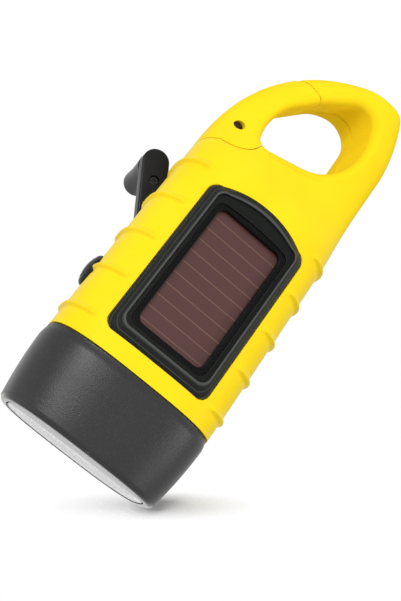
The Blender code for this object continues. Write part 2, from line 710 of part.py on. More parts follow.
def cavity_tool():
    """The hollow inside both shells: full width in the body, narrower in the spigot."""
    wide, deep = BODY_HALF_WIDTH - WALL, BODY_HALF_DEPTH - WALL
    inner = HEAD_HALF_WIDTH - head_wall() - GAP - SPIGOT_WALL
    inner_depth = HEAD_HALF_DEPTH - head_wall() - GAP - SPIGOT_WALL
    floor = JOINT_Z + SPIGOT_FLOOR
    corner = WALL
    rings = [
        scaled_ring(SPIGOT_Z - OVERRUN, inner, inner_depth, BODY_POWER, INNER_RING_POINTS),
        scaled_ring(floor, inner, inner_depth, BODY_POWER, INNER_RING_POINTS),
        scaled_ring(floor, wide, deep, BODY_POWER, INNER_RING_POINTS),
        scaled_ring(CAVITY_TOP_Z - corner, wide, deep, BODY_POWER, INNER_RING_POINTS),
        scaled_ring(CAVITY_TOP_Z, wide - corner, deep - corner, BODY_POWER, INNER_RING_POINTS),
    ]
    tool = loft("cavity_tool", rings)
    tray_side = FRAME_HALF_WIDTH + GAP + TRAY_WALL
    low = (-tray_side, -FAR, FRAME_BOTTOM_Z - GAP - TRAY_WALL)
    high = (tray_side, tray_back_y(), CAVITY_TOP_Z + OVERRUN)
    return cut(tool, block("tray", low, high))


def head_wall():
    """Thickness of the head's wall round the spigot."""
    return RIM_LIP


def crest_y():
    """The panel frame's crest, in front of the body."""
    return -(BODY_HALF_DEPTH + FRAME_CREST)


def frame_under_y():
    """Underside of the panel frame."""
    return crest_y() + CELL_DEPTH + FRAME_STEP_DEPTH - GAP


def cell_face_y():
    """Outer face of the solar cell."""
    return frame_under_y() + GAP


def tray_back_y():
    """Inner face of the wall that carries the solar cell."""
    return cell_face_y() + CELL_THICKNESS + GAP + BODY_HALF_DEPTH * TRAY_FLOOR_SHARE


def panel_ring(share, shrink=0.0, sag_share=None):
    """Panel outline between the frame's outer edge (share 0) and its opening (share 1), in X and Z."""
    sag = FRAME_TOP_SAG * (1.0 - share if sag_share is None else sag_share)
    half = FRAME_HALF_WIDTH - FRAME_SIDE_INSET * share - shrink
    bottom = FRAME_BOTTOM_Z + FRAME_BOTTOM_INSET * share + shrink
    top = FRAME_TOP_Z - FRAME_TOP_INSET * share - shrink
    radius = FRAME_CORNER_RADIUS + (FRAME_OPENING_RADIUS - FRAME_CORNER_RADIUS) * share
    points = []
    for centre_x, start in ((half - radius, -math.pi / 2), (-half + radius, math.pi)):
        side = 1.0 if centre_x > 0 else -1.0
        if side < 0:
            points += list(top_run(half, top, sag, radius))
        turns = np.linspace(0.0, math.pi / 2, FRAME_CORNER_STEPS + 1)
        for turn in turns:
            place = start + turn
            points.append((centre_x + radius * math.cos(place), bottom + radius + radius * math.sin(place)))
    return np.array(points)


def top_run(half, top, sag, radius):
    """The outline's top: right corner, shallow arch, left corner."""
    turns = np.linspace(0.0, math.pi / 2, FRAME_CORNER_STEPS + 1)
    corner_z = top - sag - radius
    right = [(half - radius + radius * math.cos(turn), corner_z + radius * math.sin(turn)) for turn in turns]
    left = [(-x, z) for x, z in right[::-1]]
    spread = np.linspace(1.0, -1.0, FRAME_ARC_STEPS + 2)[1:-1]
    reach = half - radius
    arch_run = [(reach * share, top - sag * share * share) for share in spread]
    return right + arch_run + left


def make_panel(front, paints):
    """The solar frame and cell, and their seats in the front shell."""
    under, crest, step = frame_under_y(), crest_y(), crest_y() + FRAME_STEP_DEPTH
    profile_shares = (
        (0.0, None), (0.27, crest), (0.37, crest), (0.43, step), (0.57, step),
        (0.62, (crest + step) / 2), (0.74, (crest + step) / 2), (1.0, (step + under) / 2), (1.0, under),
    )
    rings = [lay(panel_ring(0.0), "Y", under)]
    for share, level in profile_shares:
        ring = lay(panel_ring(share), "Y", crest if level is None else level)
        if level is None:
            depth = np.array([float(surface_depth(x, z, -1)) for x, z in ring[:, (0, 2)]])
            ring[:, 1] = -depth - FRAME_PROUD
        rings.append(ring)
    loft("solar_frame", rings, paints["black_plastic"], closed=True)
    cell_shrink = -CELL_LAP
    cell_outline = panel_ring(1.0, cell_shrink, 0.0)
    face = cell_face_y()
    prism("solar_cell", cell_outline, face, face + CELL_THICKNESS, paints["solar_cell"])
    seat = prism("frame_seat", panel_ring(0.0, -GAP), -FAR, under + GAP)
    cell_seat = prism(
        "cell_seat", panel_ring(1.0, cell_shrink - GAP, 0.0), under - GAP, face + CELL_THICKNESS + GAP
    )
    cut(front, seat, cell_seat)


def screw_places():
    """X, Z, seat and depth of each housing screw."""
    places = []
    for x, z in (LOW_SCREW_SHARES, HIGH_SCREW_SHARES):
        for side in (-BODY_HALF_WIDTH, BODY_HALF_WIDTH):
            places.append((side * x, JOINT_Z + BODY_LENGTH * z, SCREW_SEAT_Y, SCREW_DEPTH))
    x, z = HOOK_SCREW_SHARES
    hook_z = JOINT_Z + BODY_LENGTH * z
    places.append((BODY_HALF_WIDTH * x, hook_z, HOOK_SCREW_SEAT_Y, HOOK_SCREW_DEPTH))
    return places


def make_screws(front, rear, paints):
    """Bosses, holes and screws that hold the shells together."""
    for index, (x, z, seat, depth) in enumerate(screw_places()):
        centre = (x, z)
        tip = seat - depth
        if z < CAVITY_TOP_Z:
            ahead = GAP - float(surface_depth(abs(x) + BOSS_RADIUS, z, -1))
            join(front, rod("front_boss", BOSS_RADIUS, ahead, FRONT_Y, centre))
            back = float(surface_depth(abs(x) + BOSS_RADIUS, z, 1)) - GAP
            join(rear, rod("rear_boss", BOSS_RADIUS, REAR_Y, back, centre))
        hole = SCREW_SHANK_RADIUS + GAP
        cut(front, rod("pilot", hole, tip - GAP, FRONT_Y + GAP, centre, sides=SMALL_SIDES))
        wide = SCREW_HEAD_RADIUS + GAP
        well_profile = ((hole, REAR_Y - GAP), (hole, seat), (wide, seat), (wide, FAR))
        cut(rear, turned("screw_well", well_profile, centre, sides=SMALL_SIDES))
        top = seat + GAP + SCREW_HEAD_THICKNESS
        profile = (
            (SCREW_SHANK_RADIUS, tip),
            (SCREW_SHANK_RADIUS, seat + GAP),
            (SCREW_HEAD_RADIUS, seat + GAP),
            (SCREW_HEAD_RADIUS, top - SCREW_HEAD_THICKNESS / 3),
            (SCREW_HEAD_RADIUS * 2 / 3, top),
        )
        turned(f"housing_screw_{index + 1}", profile, centre, "Y", paints["steel"], SMALL_SIDES)


def make_shells(form, paints):
    """Front and rear shell, split behind the middle, with all that they carry. Returns the rear one."""
    spigot_width = HEAD_HALF_WIDTH - head_wall() - GAP
    spigot_depth = HEAD_HALF_DEPTH - head_wall() - GAP
    spigot = loft(
        "spigot",
        (
            scaled_ring(SPIGOT_Z, spigot_width, spigot_depth, HEAD_POWER),
            scaled_ring(JOINT_Z + SPIGOT_FLOOR, spigot_width, spigot_depth, HEAD_POWER),
        ),
    )
    whole = join(form, spigot)
    pivot = (GATE_PIVOT_X, GATE_PIVOT_Z)
    cut(whole, gate_region("gate_clearance", GAP))
    front = duplicate(whole, "front_shell")
    rear = whole
    rear.name = "rear_shell"
    cut(front, block("behind", (-FAR, FRONT_Y, -FAR), (FAR, FAR, FAR)))
    cut(rear, block("before", (-FAR, -FAR, -FAR), (FAR, REAR_Y, FAR)))
    tongue = rod("tongue", TONGUE_RADIUS, TONGUE_FRONT_Y, TONGUE_BACK_Y, pivot)
    low = (GATE_PIVOT_X - TONGUE_NECK_HALF_WIDTH, TONGUE_FRONT_Y, GATE_PIVOT_Z - GATE_ROOT_RADIUS * 1.5)
    high = (GATE_PIVOT_X + TONGUE_NECK_HALF_WIDTH, TONGUE_BACK_Y, GATE_PIVOT_Z)
    join(front, join(tongue, block("tongue_neck", low, high)))
    cut(front, rod("tongue_bore", GATE_PIN_RADIUS + GAP, -FAR, FAR, pivot, sides=SMALL_SIDES))
    cavity = cavity_tool()
    combine(front, cavity, "DIFFERENCE", keep_tool=True)
    combine(rear, cavity, "DIFFERENCE")
    make_panel(front, paints)
    make_screws(front, rear, paints)
    make_button(front, rear, paints)
    pocket_z = CRANK_Z + CRANK_LENGTH
    pocket_y = 2 * FOLD_Y - (ARM_Y + ARM_THICKNESS + GAP + KNOB_LENGTH) - KNOB_POCKET_CLEARANCE
    for shell in (front, rear):
        cut(shell, rod("knob_pocket", KNOB_RADIUS + KNOB_POCKET_CLEARANCE, pocket_y, FAR, (0.0, pocket_z)))
    for shell in (front, rear):
        shell.data.materials.clear()
        shell.data.materials.append(paints["yellow_plastic"])
    return rear


def head_half_sizes(z):
    """Half width and half depth of the head at a height: widest near the body, drawn in to the rim."""
    share = np.clip((JOINT_Z - GAP - z) / (JOINT_Z - GAP - RIM_Z), 0.0, 1.0)
    drop = share ** HEAD_CURVE_POWER
    shoulder = HEAD_SHOULDER_DROP * smooth_step(-share, -HEAD_SHOULDER_SHARE, 0.0)
    wide = HEAD_HALF_WIDTH - (HEAD_HALF_WIDTH - RIM_HALF_WIDTH) * drop - shoulder
    deep = HEAD_HALF_DEPTH - (HEAD_HALF_DEPTH - RIM_HALF_DEPTH) * drop - shoulder
    return float(wide), float(deep)


def make_head(paints):
    """The black head with its lens, seal, reflector, lamps and lamp board."""
    top = JOINT_Z - GAP
    rim_wide, rim_deep = RIM_HALF_WIDTH, RIM_HALF_DEPTH
    rings = []
    for z in np.linspace(top, RIM_Z + RIM_EDGE_RADIUS, HEAD_RINGS):
        rings.append(scaled_ring(z, *head_half_sizes(z), HEAD_POWER))
    for turn in np.radians((30.0, 60.0, 90.0)):
        inset = RIM_EDGE_RADIUS * (1.0 - math.cos(turn))
        z = RIM_Z + RIM_EDGE_RADIUS * (1.0 - math.sin(turn))
        rings.append(scaled_ring(z, rim_wide - inset, rim_deep - inset, HEAD_POWER))
    bore_wide, bore_deep = rim_wide - RIM_LIP, rim_deep - RIM_LIP
    ledge_z = LENS_THICKNESS + GAP + SEAL_THICKNESS + GAP
    ledge_back = ledge_z + LEDGE_THICKNESS
    inner_wide, inner_deep = HEAD_HALF_WIDTH - head_wall(), HEAD_HALF_DEPTH - head_wall()
    for z, wide, deep in (
        (RIM_Z, bore_wide, bore_deep),
        (ledge_z, bore_wide, bore_deep),
        (ledge_z, bore_wide - SEAL_WIDTH - GAP, bore_deep - SEAL_WIDTH - GAP),
        (ledge_back, bore_wide - SEAL_WIDTH - GAP, bore_deep - SEAL_WIDTH - GAP),
        (ledge_back, bore_wide, bore_deep),
        (SPIGOT_Z - LED_BOARD_THICKNESS - GAP - GAP, inner_wide, inner_deep),
        (top, inner_wide, inner_deep),
    ):
        rings.append(scaled_ring(z, wide, deep, HEAD_POWER))
    loft("head_bezel", rings, paints["black_plastic"], closed=True)
    lens_wide, lens_deep = bore_wide - GAP, bore_deep - GAP
    lens_rings = [scaled_ring(z, lens_wide, lens_deep, HEAD_POWER) for z in (0.0, LENS_THICKNESS)]
    loft("lens", lens_rings, paints["clear_lens"])
    make_seal(lens_wide, lens_deep, paints)
    make_reflector(ledge_back, lens_wide, lens_deep, paints)
    make_lamps(inner_wide, inner_deep, paints)


def make_seal(wide, deep, paints):
    """The soft ring between the lens and the head's ledge."""
    low, high = LENS_THICKNESS + GAP, LENS_THICKNESS + GAP + SEAL_THICKNESS
    rings = []
    for z, inset in ((low, 0.0), (high, 0.0), (high, SEAL_WIDTH), (low, SEAL_WIDTH)):
        rings.append(scaled_ring(z, wide - inset, deep - inset, HEAD_POWER))
    loft("lens_seal", rings, paints["soft_seal"], closed=True)


def reflector_rings(front_z, wide, deep, grow):
    """Sections of the dish from its mouth to its floor, grown by the wall on the outside."""
    rings = []
    for share in np.linspace(0.0, 1.0, REFLECTOR_STEPS):
        bend = 1.0 - (1.0 - share) ** 0.5
        half_wide = wide + (REFLECTOR_FLOOR_HALF_WIDTH - wide) * bend + grow
        half_deep = deep + (REFLECTOR_FLOOR_HALF_DEPTH - deep) * bend + grow
        rings.append(scaled_ring(front_z + grow + REFLECTOR_DEPTH * share, half_wide, half_deep, HEAD_POWER))
    return rings


def make_reflector(ledge_back, wide, deep, paints):
    """A silvered oval dish with a hole for each lamp."""
    front_z = ledge_back + GAP
    mouth_wide, mouth_deep = wide - REFLECTOR_LIP, deep - REFLECTOR_LIP
    inside = reflector_rings(front_z, mouth_wide, mouth_deep, 0.0)
    outside = reflector_rings(front_z, mouth_wide, mouth_deep, REFLECTOR_WALL)
    lip = [scaled_ring(z, wide, deep, HEAD_POWER) for z in (front_z, front_z + REFLECTOR_WALL)]
    body = loft("reflector", inside[::-1] + lip + outside, paints["mirror_silver"])
    floor_z = front_z + REFLECTOR_DEPTH
    for side in (-1, 0, 1):
        centre = (side * LED_PITCH, 0.0)
        radius = LED_RADIUS + LED_FLANGE + GAP
        cut(body, rod("lamp_hole", radius, front_z, floor_z + OVERRUN, centre, "Z", sides=SMALL_SIDES))


def make_lamps(inner_wide, inner_deep, paints):
    """Three round lamps on their oval board."""
    board_back = SPIGOT_Z - GAP
    board_front = board_back - LED_BOARD_THICKNESS
    board_wide, board_deep = inner_wide - GAP * 2, inner_deep - GAP * 2
    rings = [scaled_ring(z, board_wide, board_deep, HEAD_POWER) for z in (board_front, board_back)]
    loft("led_board", rings, paints["circuit_board"])
    base = board_front - GAP
    for index, side in enumerate((-1, 0, 1)):
        tip = base - LED_HEIGHT
        profile = [
            (LED_RADIUS + LED_FLANGE, base),
            (LED_RADIUS + LED_FLANGE, base - LED_FLANGE_HEIGHT),
            (LED_RADIUS, base - LED_FLANGE_HEIGHT),
        ]
        for turn in np.radians((0.0, 30.0, 55.0, 78.0)):
            profile.append((LED_RADIUS * math.cos(turn), tip + LED_RADIUS * (1.0 - math.sin(turn))))
        centre = (side * LED_PITCH, 0.0)
        turned(f"led_{index + 1}", profile, centre, "Z", paints["led_epoxy"], SMALL_SIDES)


def gear_outline(teeth, addendum_share, phase):
    """Involute gear outline in X and Z, with a tooth centred on the phase angle."""
    pitch_radius = MODULE * teeth / 2
    base = pitch_radius * math.cos(PRESSURE_ANGLE)
    root = pitch_radius - DEDENDUM_SHARE * MODULE
    tip = pitch_radius + addendum_share * MODULE
    involute_at_pitch = math.tan(PRESSURE_ANGLE) - PRESSURE_ANGLE
    half_at_pitch = math.pi * TOOTH_SHARE / teeth
    flank = []
    for radius in (root, max(base, root), tip):
        angle = math.acos(min(1.0, base / max(radius, base)))
        flank.append((radius, half_at_pitch + involute_at_pitch - (math.tan(angle) - angle)))
    points = []
    for index in range(teeth):
        centre = phase + 2.0 * math.pi * index / teeth
        for radius, half in flank:
            points.append((radius * math.cos(centre - half), radius * math.sin(centre - half)))
        for radius, half in flank[::-1]:
            points.append((radius * math.cos(centre + half), radius * math.sin(centre + half)))
    least = MODULE / 100
    keep = [point for number, point in enumerate(points) if math.dist(point, points[number - 1]) > least]
    return np.array(keep)


def meshing_phase(centre, phase, teeth, other_centre, other_teeth):
    """Tooth angle of a gear whose gap takes the first gear's tooth on the line of centres."""
    line = math.atan2(other_centre[1] - centre[1], other_centre[0] - centre[0])
    pitch = 2.0 * math.pi / teeth
    other_pitch = 2.0 * math.pi / other_teeth
    return line + math.pi - other_pitch * (0.5 - (line - phase) / pitch)


def next_centre(centre, lean_share, distance):
    """Centre of the next gear up the train, leaning to one side by a share of the distance."""
    rise_share = math.sqrt(1.0 - lean_share ** 2)
    return (centre[0] + distance * lean_share, centre[1] + distance * rise_share)


def gear_centres():
    """Crank, first, second and rotor centres in X and Z."""
    crank = (0.0, CRANK_Z)
    first = next_centre(crank, FIRST_LEAN_SHARE, MODULE * (DRIVE_TEETH + PINION_TEETH) / 2)
    step = MODULE * (WHEEL_TEETH + PINION_TEETH) / 2
    second = next_centre(first, SECOND_LEAN_SHARE, step)
    rotor = next_centre(second, ROTOR_LEAN_SHARE, step)
    return crank, first, second, rotor


def gear_levels():
    """Y levels of the train, from the plate back: second wheel, first wheel, drive gear."""
    second = PLATE_BACK_Y + GEAR_CLEARANCE
    first = second + WHEEL_THICKNESS + GEAR_CLEARANCE
    drive = first + WHEEL_THICKNESS + GEAR_CLEARANCE
    return second, first, drive


def compound_gear(name, centre, wheel_y, pinion_end, wheel_phase, pinion_phase, paints):
    """A wheel and a pinion in one piece, bored for their axle."""
    wheel = gear_outline(WHEEL_TEETH, WHEEL_ADDENDUM_SHARE, wheel_phase) + np.array(centre)
    pinion = gear_outline(PINION_TEETH, PINION_ADDENDUM_SHARE, pinion_phase) + np.array(centre)
    made = prism(name, wheel, wheel_y, wheel_y + WHEEL_THICKNESS, paints["white_gear"])
    join(made, prism("pinion", pinion, wheel_y + WHEEL_THICKNESS / 2, pinion_end, paints["white_gear"]))
    cut(made, rod("axle_bore", AXLE_RADIUS + GAP, -FAR, FAR, centre, sides=SMALL_SIDES))
    set_origin(made, (centre[0], 0.0, centre[1]))
    return made


def make_gears(rear, crank_empty, paints):
    """The train from the crank to the generator's rotor, its axles and its plate."""
    crank, first, second, rotor = gear_centres()
    second_y, first_y, drive_y = gear_levels()
    drive_phase = 0.0
    first_pinion = meshing_phase(crank, drive_phase, DRIVE_TEETH, first, PINION_TEETH)
    second_pinion = meshing_phase(first, 0.0, WHEEL_TEETH, second, PINION_TEETH)
    rotor_pinion = meshing_phase(second, 0.0, WHEEL_TEETH, rotor, PINION_TEETH)
    turned_phase = drive_phase + CRANK_REST_ANGLE
    drive_outline = gear_outline(DRIVE_TEETH, WHEEL_ADDENDUM_SHARE, turned_phase) + np.array(crank)
    drive = prism("drive_gear", drive_outline, drive_y, drive_y + DRIVE_THICKNESS, paints["white_gear"])
    cut(drive, shaft_solid("shaft_bore", GAP, -FAR, FAR))
    attach(drive, crank_empty)
    first_end = drive_y + DRIVE_THICKNESS + GAP
    compound_gear("first_gear", first, first_y, first_end, 0.0, first_pinion, paints)
    second_end = first_y + WHEEL_THICKNESS + GAP
    compound_gear("second_gear", second, second_y, second_end, 0.0, second_pinion, paints)
    socket_end = BODY_HALF_DEPTH - WALL
    for name, centre, gear_end in (("axle_1", first, first_end), ("axle_2", second, second_end)):
        join(rear, rod("axle_boss", AXLE_RADIUS + WALL / 2, gear_end + GAP, socket_end + WALL / 2, centre))
        cut(rear, rod("axle_socket", AXLE_RADIUS + GAP, gear_end, socket_end, centre, sides=SMALL_SIDES))
        start, end = PLATE_BACK_Y - PLATE_THICKNESS, socket_end - GAP
        rod(name, AXLE_RADIUS, start, end, centre, "Y", paints["steel"], SMALL_SIDES)
    for index, centre in enumerate(post_places()):
        make_post(rear, centre, index + 1, paints)
    make_plate(first, second, rotor, crank, paints)
    make_generator(rotor, rotor_pinion, second_y, paints)


def post_places():
    """X and Z of each post that carries the plate."""
    return [(PLATE_HALF_WIDTH * x, CRANK_Z + PLATE_HALF_WIDTH * z) for x, z in POST_PLACE_SHARES]


def make_post(rear, centre, number, paints):
    """A post of the rear shell with the screw that holds the plate on it."""
    start = PLATE_BACK_Y + GAP
    join(rear, rod("post", POST_RADIUS, start, BODY_HALF_DEPTH - WALL / 2, centre, sides=SMALL_SIDES))
    hole_end = start + PLATE_SCREW_DEPTH + GAP
    cut(rear, rod("post_hole", PLATE_SCREW_RADIUS + GAP, start - GAP, hole_end, centre, sides=SMALL_SIDES))
    head_back = PLATE_BACK_Y - PLATE_THICKNESS - GAP
    head_front = head_back - PLATE_SCREW_HEAD_THICKNESS
    head_radius = 2 * PLATE_SCREW_RADIUS
    profile = (
        (head_radius * 2 / 3, head_front),
        (head_radius, (head_front + head_back) / 2),
        (head_radius, head_back),
        (PLATE_SCREW_RADIUS, head_back),
        (PLATE_SCREW_RADIUS, start + PLATE_SCREW_DEPTH),
    )
    turned(f"plate_screw_{number}", profile, centre, "Y", paints["steel"], SMALL_SIDES)


def make_plate(first, second, rotor, crank, paints):
    """The plate that carries the axles and the generator."""
    low_z = CRANK_Z + PLATE_HALF_WIDTH * PLATE_BOTTOM_SHARE
    high_z = CRANK_Z + PLATE_HALF_WIDTH * PLATE_TOP_SHARE
    low = (-PLATE_HALF_WIDTH, PLATE_BACK_Y - PLATE_THICKNESS, low_z)
    plate = block("gear_plate", low, (PLATE_HALF_WIDTH, PLATE_BACK_Y, high_z), paints["steel"])
    holes = (
        (first, AXLE_RADIUS + GAP),
        (second, AXLE_RADIUS + GAP),
        (rotor, ROTOR_SHAFT_RADIUS + GAP),
        (crank, SHAFT_RADIUS + GAP),
    )
    screws = tuple((centre, PLATE_SCREW_RADIUS + GAP) for centre in post_places())
    for centre, radius in holes + screws:
        cut(plate, rod("plate_hole", radius, -FAR, FAR, centre))


def make_generator(centre, pinion_phase, pinion_y, paints):
    """Cup, coil, lid and the magnet rotor with its pinion."""
    lid_top = PLATE_BACK_Y - PLATE_THICKNESS - GAP
    lid_low = lid_top - GENERATOR_WALL
    cup_top = lid_low - GAP
    cup_low = tray_back_y() + GENERATOR_CLEARANCE
    floor = cup_low + GENERATOR_WALL
    inner = GENERATOR_RADIUS - GENERATOR_WALL
    cup_profile = ((inner, floor), (inner, cup_top), (GENERATOR_RADIUS, cup_top), (GENERATOR_RADIUS, cup_low))
    turned("generator_cup", cup_profile, centre, "Y", paints["steel"])
    lid_bore = ROTOR_SHAFT_RADIUS + GAP
    tube("generator_lid", GENERATOR_RADIUS, lid_bore, lid_low, lid_top, centre, "Y", paints["steel"])
    coil_outer = inner - GAP
    coil_inner = coil_outer - COIL_THICKNESS
    coil_low, coil_top = floor + GAP, cup_top - GAP
    tube("stator_coil", coil_outer, coil_inner, coil_low, coil_top, centre, "Y", paints["copper_coil"])
    magnet = coil_inner - GAP
    pinion_end = pinion_y + WHEEL_THICKNESS + GAP
    profile = (
        (magnet, coil_low),
        (magnet, cup_top - GAP - GAP),
        (ROTOR_SHAFT_RADIUS, cup_top - GAP - GAP),
        (ROTOR_SHAFT_RADIUS, pinion_end),
    )
    rotor = turned("rotor_magnet", profile, centre, "Y", paints["magnet"])
    set_origin(rotor, (centre[0], 0.0, centre[1]))
    outline = gear_outline(PINION_TEETH, PINION_ADDENDUM_SHARE, pinion_phase) + np.array(centre)
    pinion = prism("rotor_pinion", outline, pinion_y, pinion_end, paints["brass"])
    cut(pinion, rod("rotor_bore", ROTOR_SHAFT_RADIUS + GAP, -FAR, FAR, centre, sides=SMALL_SIDES))
    set_origin(pinion, (centre[0], 0.0, centre[1]))


def shaft_solid(name, grow, start, end, paint=None):
    """The crank shaft's round form with one flat, along Y through the crank's axis."""
    radius = SHAFT_RADIUS + grow
    flat = SHAFT_RADIUS - SHAFT_FLAT + grow
    outline = circle(radius, SIDES)
    outline[:, 0] = np.minimum(outline[:, 0], flat)
    keep = [
        point
        for number, point in enumerate(outline)
        if point[0] < flat or outline[number - 1][0] < flat or outline[(number + 1) % SIDES][0] < flat
    ]
    return prism(name, np.array(keep) + np.array((0.0, CRANK_Z)), start, end, paint)


def attach(made, parent):
    """Hangs a finished object on an empty, keeping where it is."""
    bpy.context.view_layer.update()
    made.parent = parent
    made.matrix_parent_inverse = parent.matrix_world.inverted()


def make_crank(rear, paints):
    """Shaft, bush, hub, folding arm and spinning knob, built pointing up."""
    crank_empty = bpy.data.objects.new("crank_axis", None)
    crank_empty.location = (0.0, 0.0, CRANK_Z)
    bpy.context.collection.objects.link(crank_empty)
    centre = (0.0, CRANK_Z)
    bush_inner = SHAFT_RADIUS + GAP
    bush_outer = bush_inner + BUSH_WALL
    drive_end = gear_levels()[2] + DRIVE_THICKNESS
    flange_y = drive_end + GAP
    flange_end = flange_y + BUSH_FLANGE_THICKNESS
    bush_profile = (
        (bush_outer + BUSH_FLANGE, flange_y),
        (bush_outer + BUSH_FLANGE, flange_end),
        (bush_outer, flange_end),
        (bush_outer, LAND_Y - GAP),
        (bush_inner, LAND_Y - GAP),
        (bush_inner, flange_y),
    )
    turned("shaft_bush", bush_profile, centre, "Y", paints["brass"], closed=True)
    mid_wall = BODY_HALF_DEPTH - WALL / 2
    join(rear, rod("crank_land", LAND_RADIUS, mid_wall, LAND_Y, centre))
    join(rear, rod("bush_boss", bush_outer + BUSH_FLANGE, flange_end + GAP, mid_wall, centre))
    cut(rear, rod("bush_hole", bush_outer + GAP, 0.0, FAR, centre))
    shaft = shaft_solid("crank_shaft", 0.0, PLATE_BACK_Y - PLATE_THICKNESS, HUB_Y + HUB_DISC, paints["steel"])
    attach(shaft, crank_empty)
    hub = make_hub(paints)
    attach(hub, crank_empty)
    fold_empty = bpy.data.objects.new("fold_axis", None)
    fold_empty.location = (0.0, FOLD_Y, CRANK_Z)
    bpy.context.collection.objects.link(fold_empty)
    attach(fold_empty, crank_empty)
    for made in make_arm(paints):
        attach(made, fold_empty)
    return crank_empty


def make_hub(paints):
    """The disc on the shaft with two ears for the fold pin."""
    disc_profile = (
        (HUB_RADIUS, HUB_Y),
        (HUB_RADIUS, HUB_Y + HUB_DISC - ARM_EDGE),
        (HUB_RADIUS - ARM_EDGE, HUB_Y + HUB_DISC),
    )
    hub = turned("crank_hub", disc_profile, (0.0, CRANK_Z), "Y", paints["black_plastic"])
    ear_radius = ARM_THICKNESS / 2
    for side in (-1.0, 1.0):
        inner = side * (ARM_NECK_HALF_WIDTH + GAP)
        outer = inner + side * EAR_THICKNESS
        start, end = min(inner, outer), max(inner, outer)
        ear = rod("ear", ear_radius, start, end, (FOLD_Y, CRANK_Z), "X")
        low = (start, HUB_Y + HUB_DISC / 2, CRANK_Z - ear_radius)
        join(ear, block("ear_foot", low, (end, FOLD_Y, CRANK_Z + ear_radius)))
        join(hub, ear)
    cut(hub, rod("pin_bore", FOLD_PIN_RADIUS + GAP, -FAR, FAR, (FOLD_Y, CRANK_Z), "X", sides=SMALL_SIDES))
    cut(hub, shaft_solid("hub_bore", GAP, -FAR, FAR))
    return hub


def arm_outline(inset):
    """Arm outline in X and Z: round root between the ears, wide blade, round end at the knob."""
    root = CRANK_Z + ARM_NECK_LENGTH
    end = CRANK_Z + CRANK_LENGTH
    half = ARM_HALF_WIDTH - inset
    neck = ARM_NECK_HALF_WIDTH - inset
    points = [(-neck, CRANK_Z), (neck, CRANK_Z), (neck, root + inset), (half, root + inset)]
    for turn in np.linspace(0.0, math.pi, 13):
        points.append((half * math.cos(turn), end + half * math.sin(turn)))
    points += [(-half, root + inset), (-neck, root + inset)]
    return points


def make_arm(paints):
    """The folding arm with its pin and screw, and the knob with its pin."""
    end_z = CRANK_Z + CRANK_LENGTH
    back = ARM_Y + ARM_THICKNESS
    rings = []
    for y, inset in ((ARM_Y, ARM_EDGE), (ARM_Y + ARM_EDGE, 0.0), (back - ARM_EDGE, 0.0), (back, ARM_EDGE)):
        rings.append(lay(np.array(arm_outline(inset)), "Y", y))
    arm = loft("crank_arm", rings, paints["black_plastic"])
    knuckle = rod(
        "knuckle", ARM_THICKNESS / 2, -ARM_NECK_HALF_WIDTH, ARM_NECK_HALF_WIDTH, (FOLD_Y, CRANK_Z), "X"
    )
    join(arm, knuckle)
    screw_centre = (0.0, end_z - ARM_SCREW_OFFSET)
    recess_end = ARM_Y + ARM_SCREW_RECESS
    screw_end = back - ARM_SCREW_RECESS
    wide, narrow = ARM_SCREW_RADIUS, ARM_SCREW_RADIUS / 2
    head_end = recess_end + ARM_SCREW_RECESS
    well_profile = (
        (wide + GAP, ARM_Y - OVERRUN),
        (wide + GAP, head_end + GAP),
        (narrow + GAP, head_end + GAP),
        (narrow + GAP, screw_end + GAP),
    )
    hinge = (FOLD_Y, CRANK_Z)
    cut(
        arm,
        rod("pin_bore", FOLD_PIN_RADIUS + GAP, -FAR, FAR, hinge, "X", sides=SMALL_SIDES),
        rod("knob_pin_bore", KNOB_PIN_RADIUS + GAP, recess_end, FAR, (0.0, end_z), sides=SMALL_SIDES),
        turned("screw_well", well_profile, screw_centre, sides=SMALL_SIDES),
    )
    screw_profile = ((wide, recess_end), (wide, head_end), (narrow, head_end), (narrow, screw_end))
    screw = turned("arm_screw", screw_profile, screw_centre, "Y", paints["steel"], SMALL_SIDES)
    pin_half = ARM_NECK_HALF_WIDTH + GAP + EAR_THICKNESS
    pin = rod("fold_pin", FOLD_PIN_RADIUS, -pin_half, pin_half, hinge, "X", paints["steel"], SMALL_SIDES)
    knob, knob_pin = make_knob(end_z, back, paints)
    return arm, screw, pin, knob, knob_pin


def make_knob(end_z, back, paints):
    """The knob, slightly waisted with a domed end, on a pin fixed in the arm."""
    start = back + GAP
    end = start + KNOB_LENGTH
    bore = KNOB_PIN_RADIUS + GAP
    dome = KNOB_RADIUS / 4
    bore_end = end - KNOB_RADIUS / 2
    profile = [
        (bore, bore_end),
        (bore, start),
        (KNOB_RADIUS - ARM_EDGE, start),
        (KNOB_RADIUS, start + ARM_EDGE),
        (KNOB_RADIUS * KNOB_WAIST_SHARE, (start + end) / 2),
    ]
    for turn in np.radians((0.0, 30.0, 60.0)):
        radius = KNOB_RADIUS - dome * (1.0 - math.cos(turn))
        profile.append((radius, end - dome + dome * math.sin(turn)))
    profile.append((KNOB_RADIUS - dome, end))
    knob = turned("crank_knob", profile, (0.0, end_z), "Y", paints["black_plastic"])
    set_origin(knob, (0.0, 0.0, end_z))
    pin_start = ARM_Y + ARM_SCREW_RECESS + GAP
    pin_end = bore_end - GAP
    centre = (0.0, end_z)
    pin = rod("knob_pin", KNOB_PIN_RADIUS, pin_start, pin_end, centre, "Y", paints["steel"], SMALL_SIDES)
    return knob, pin


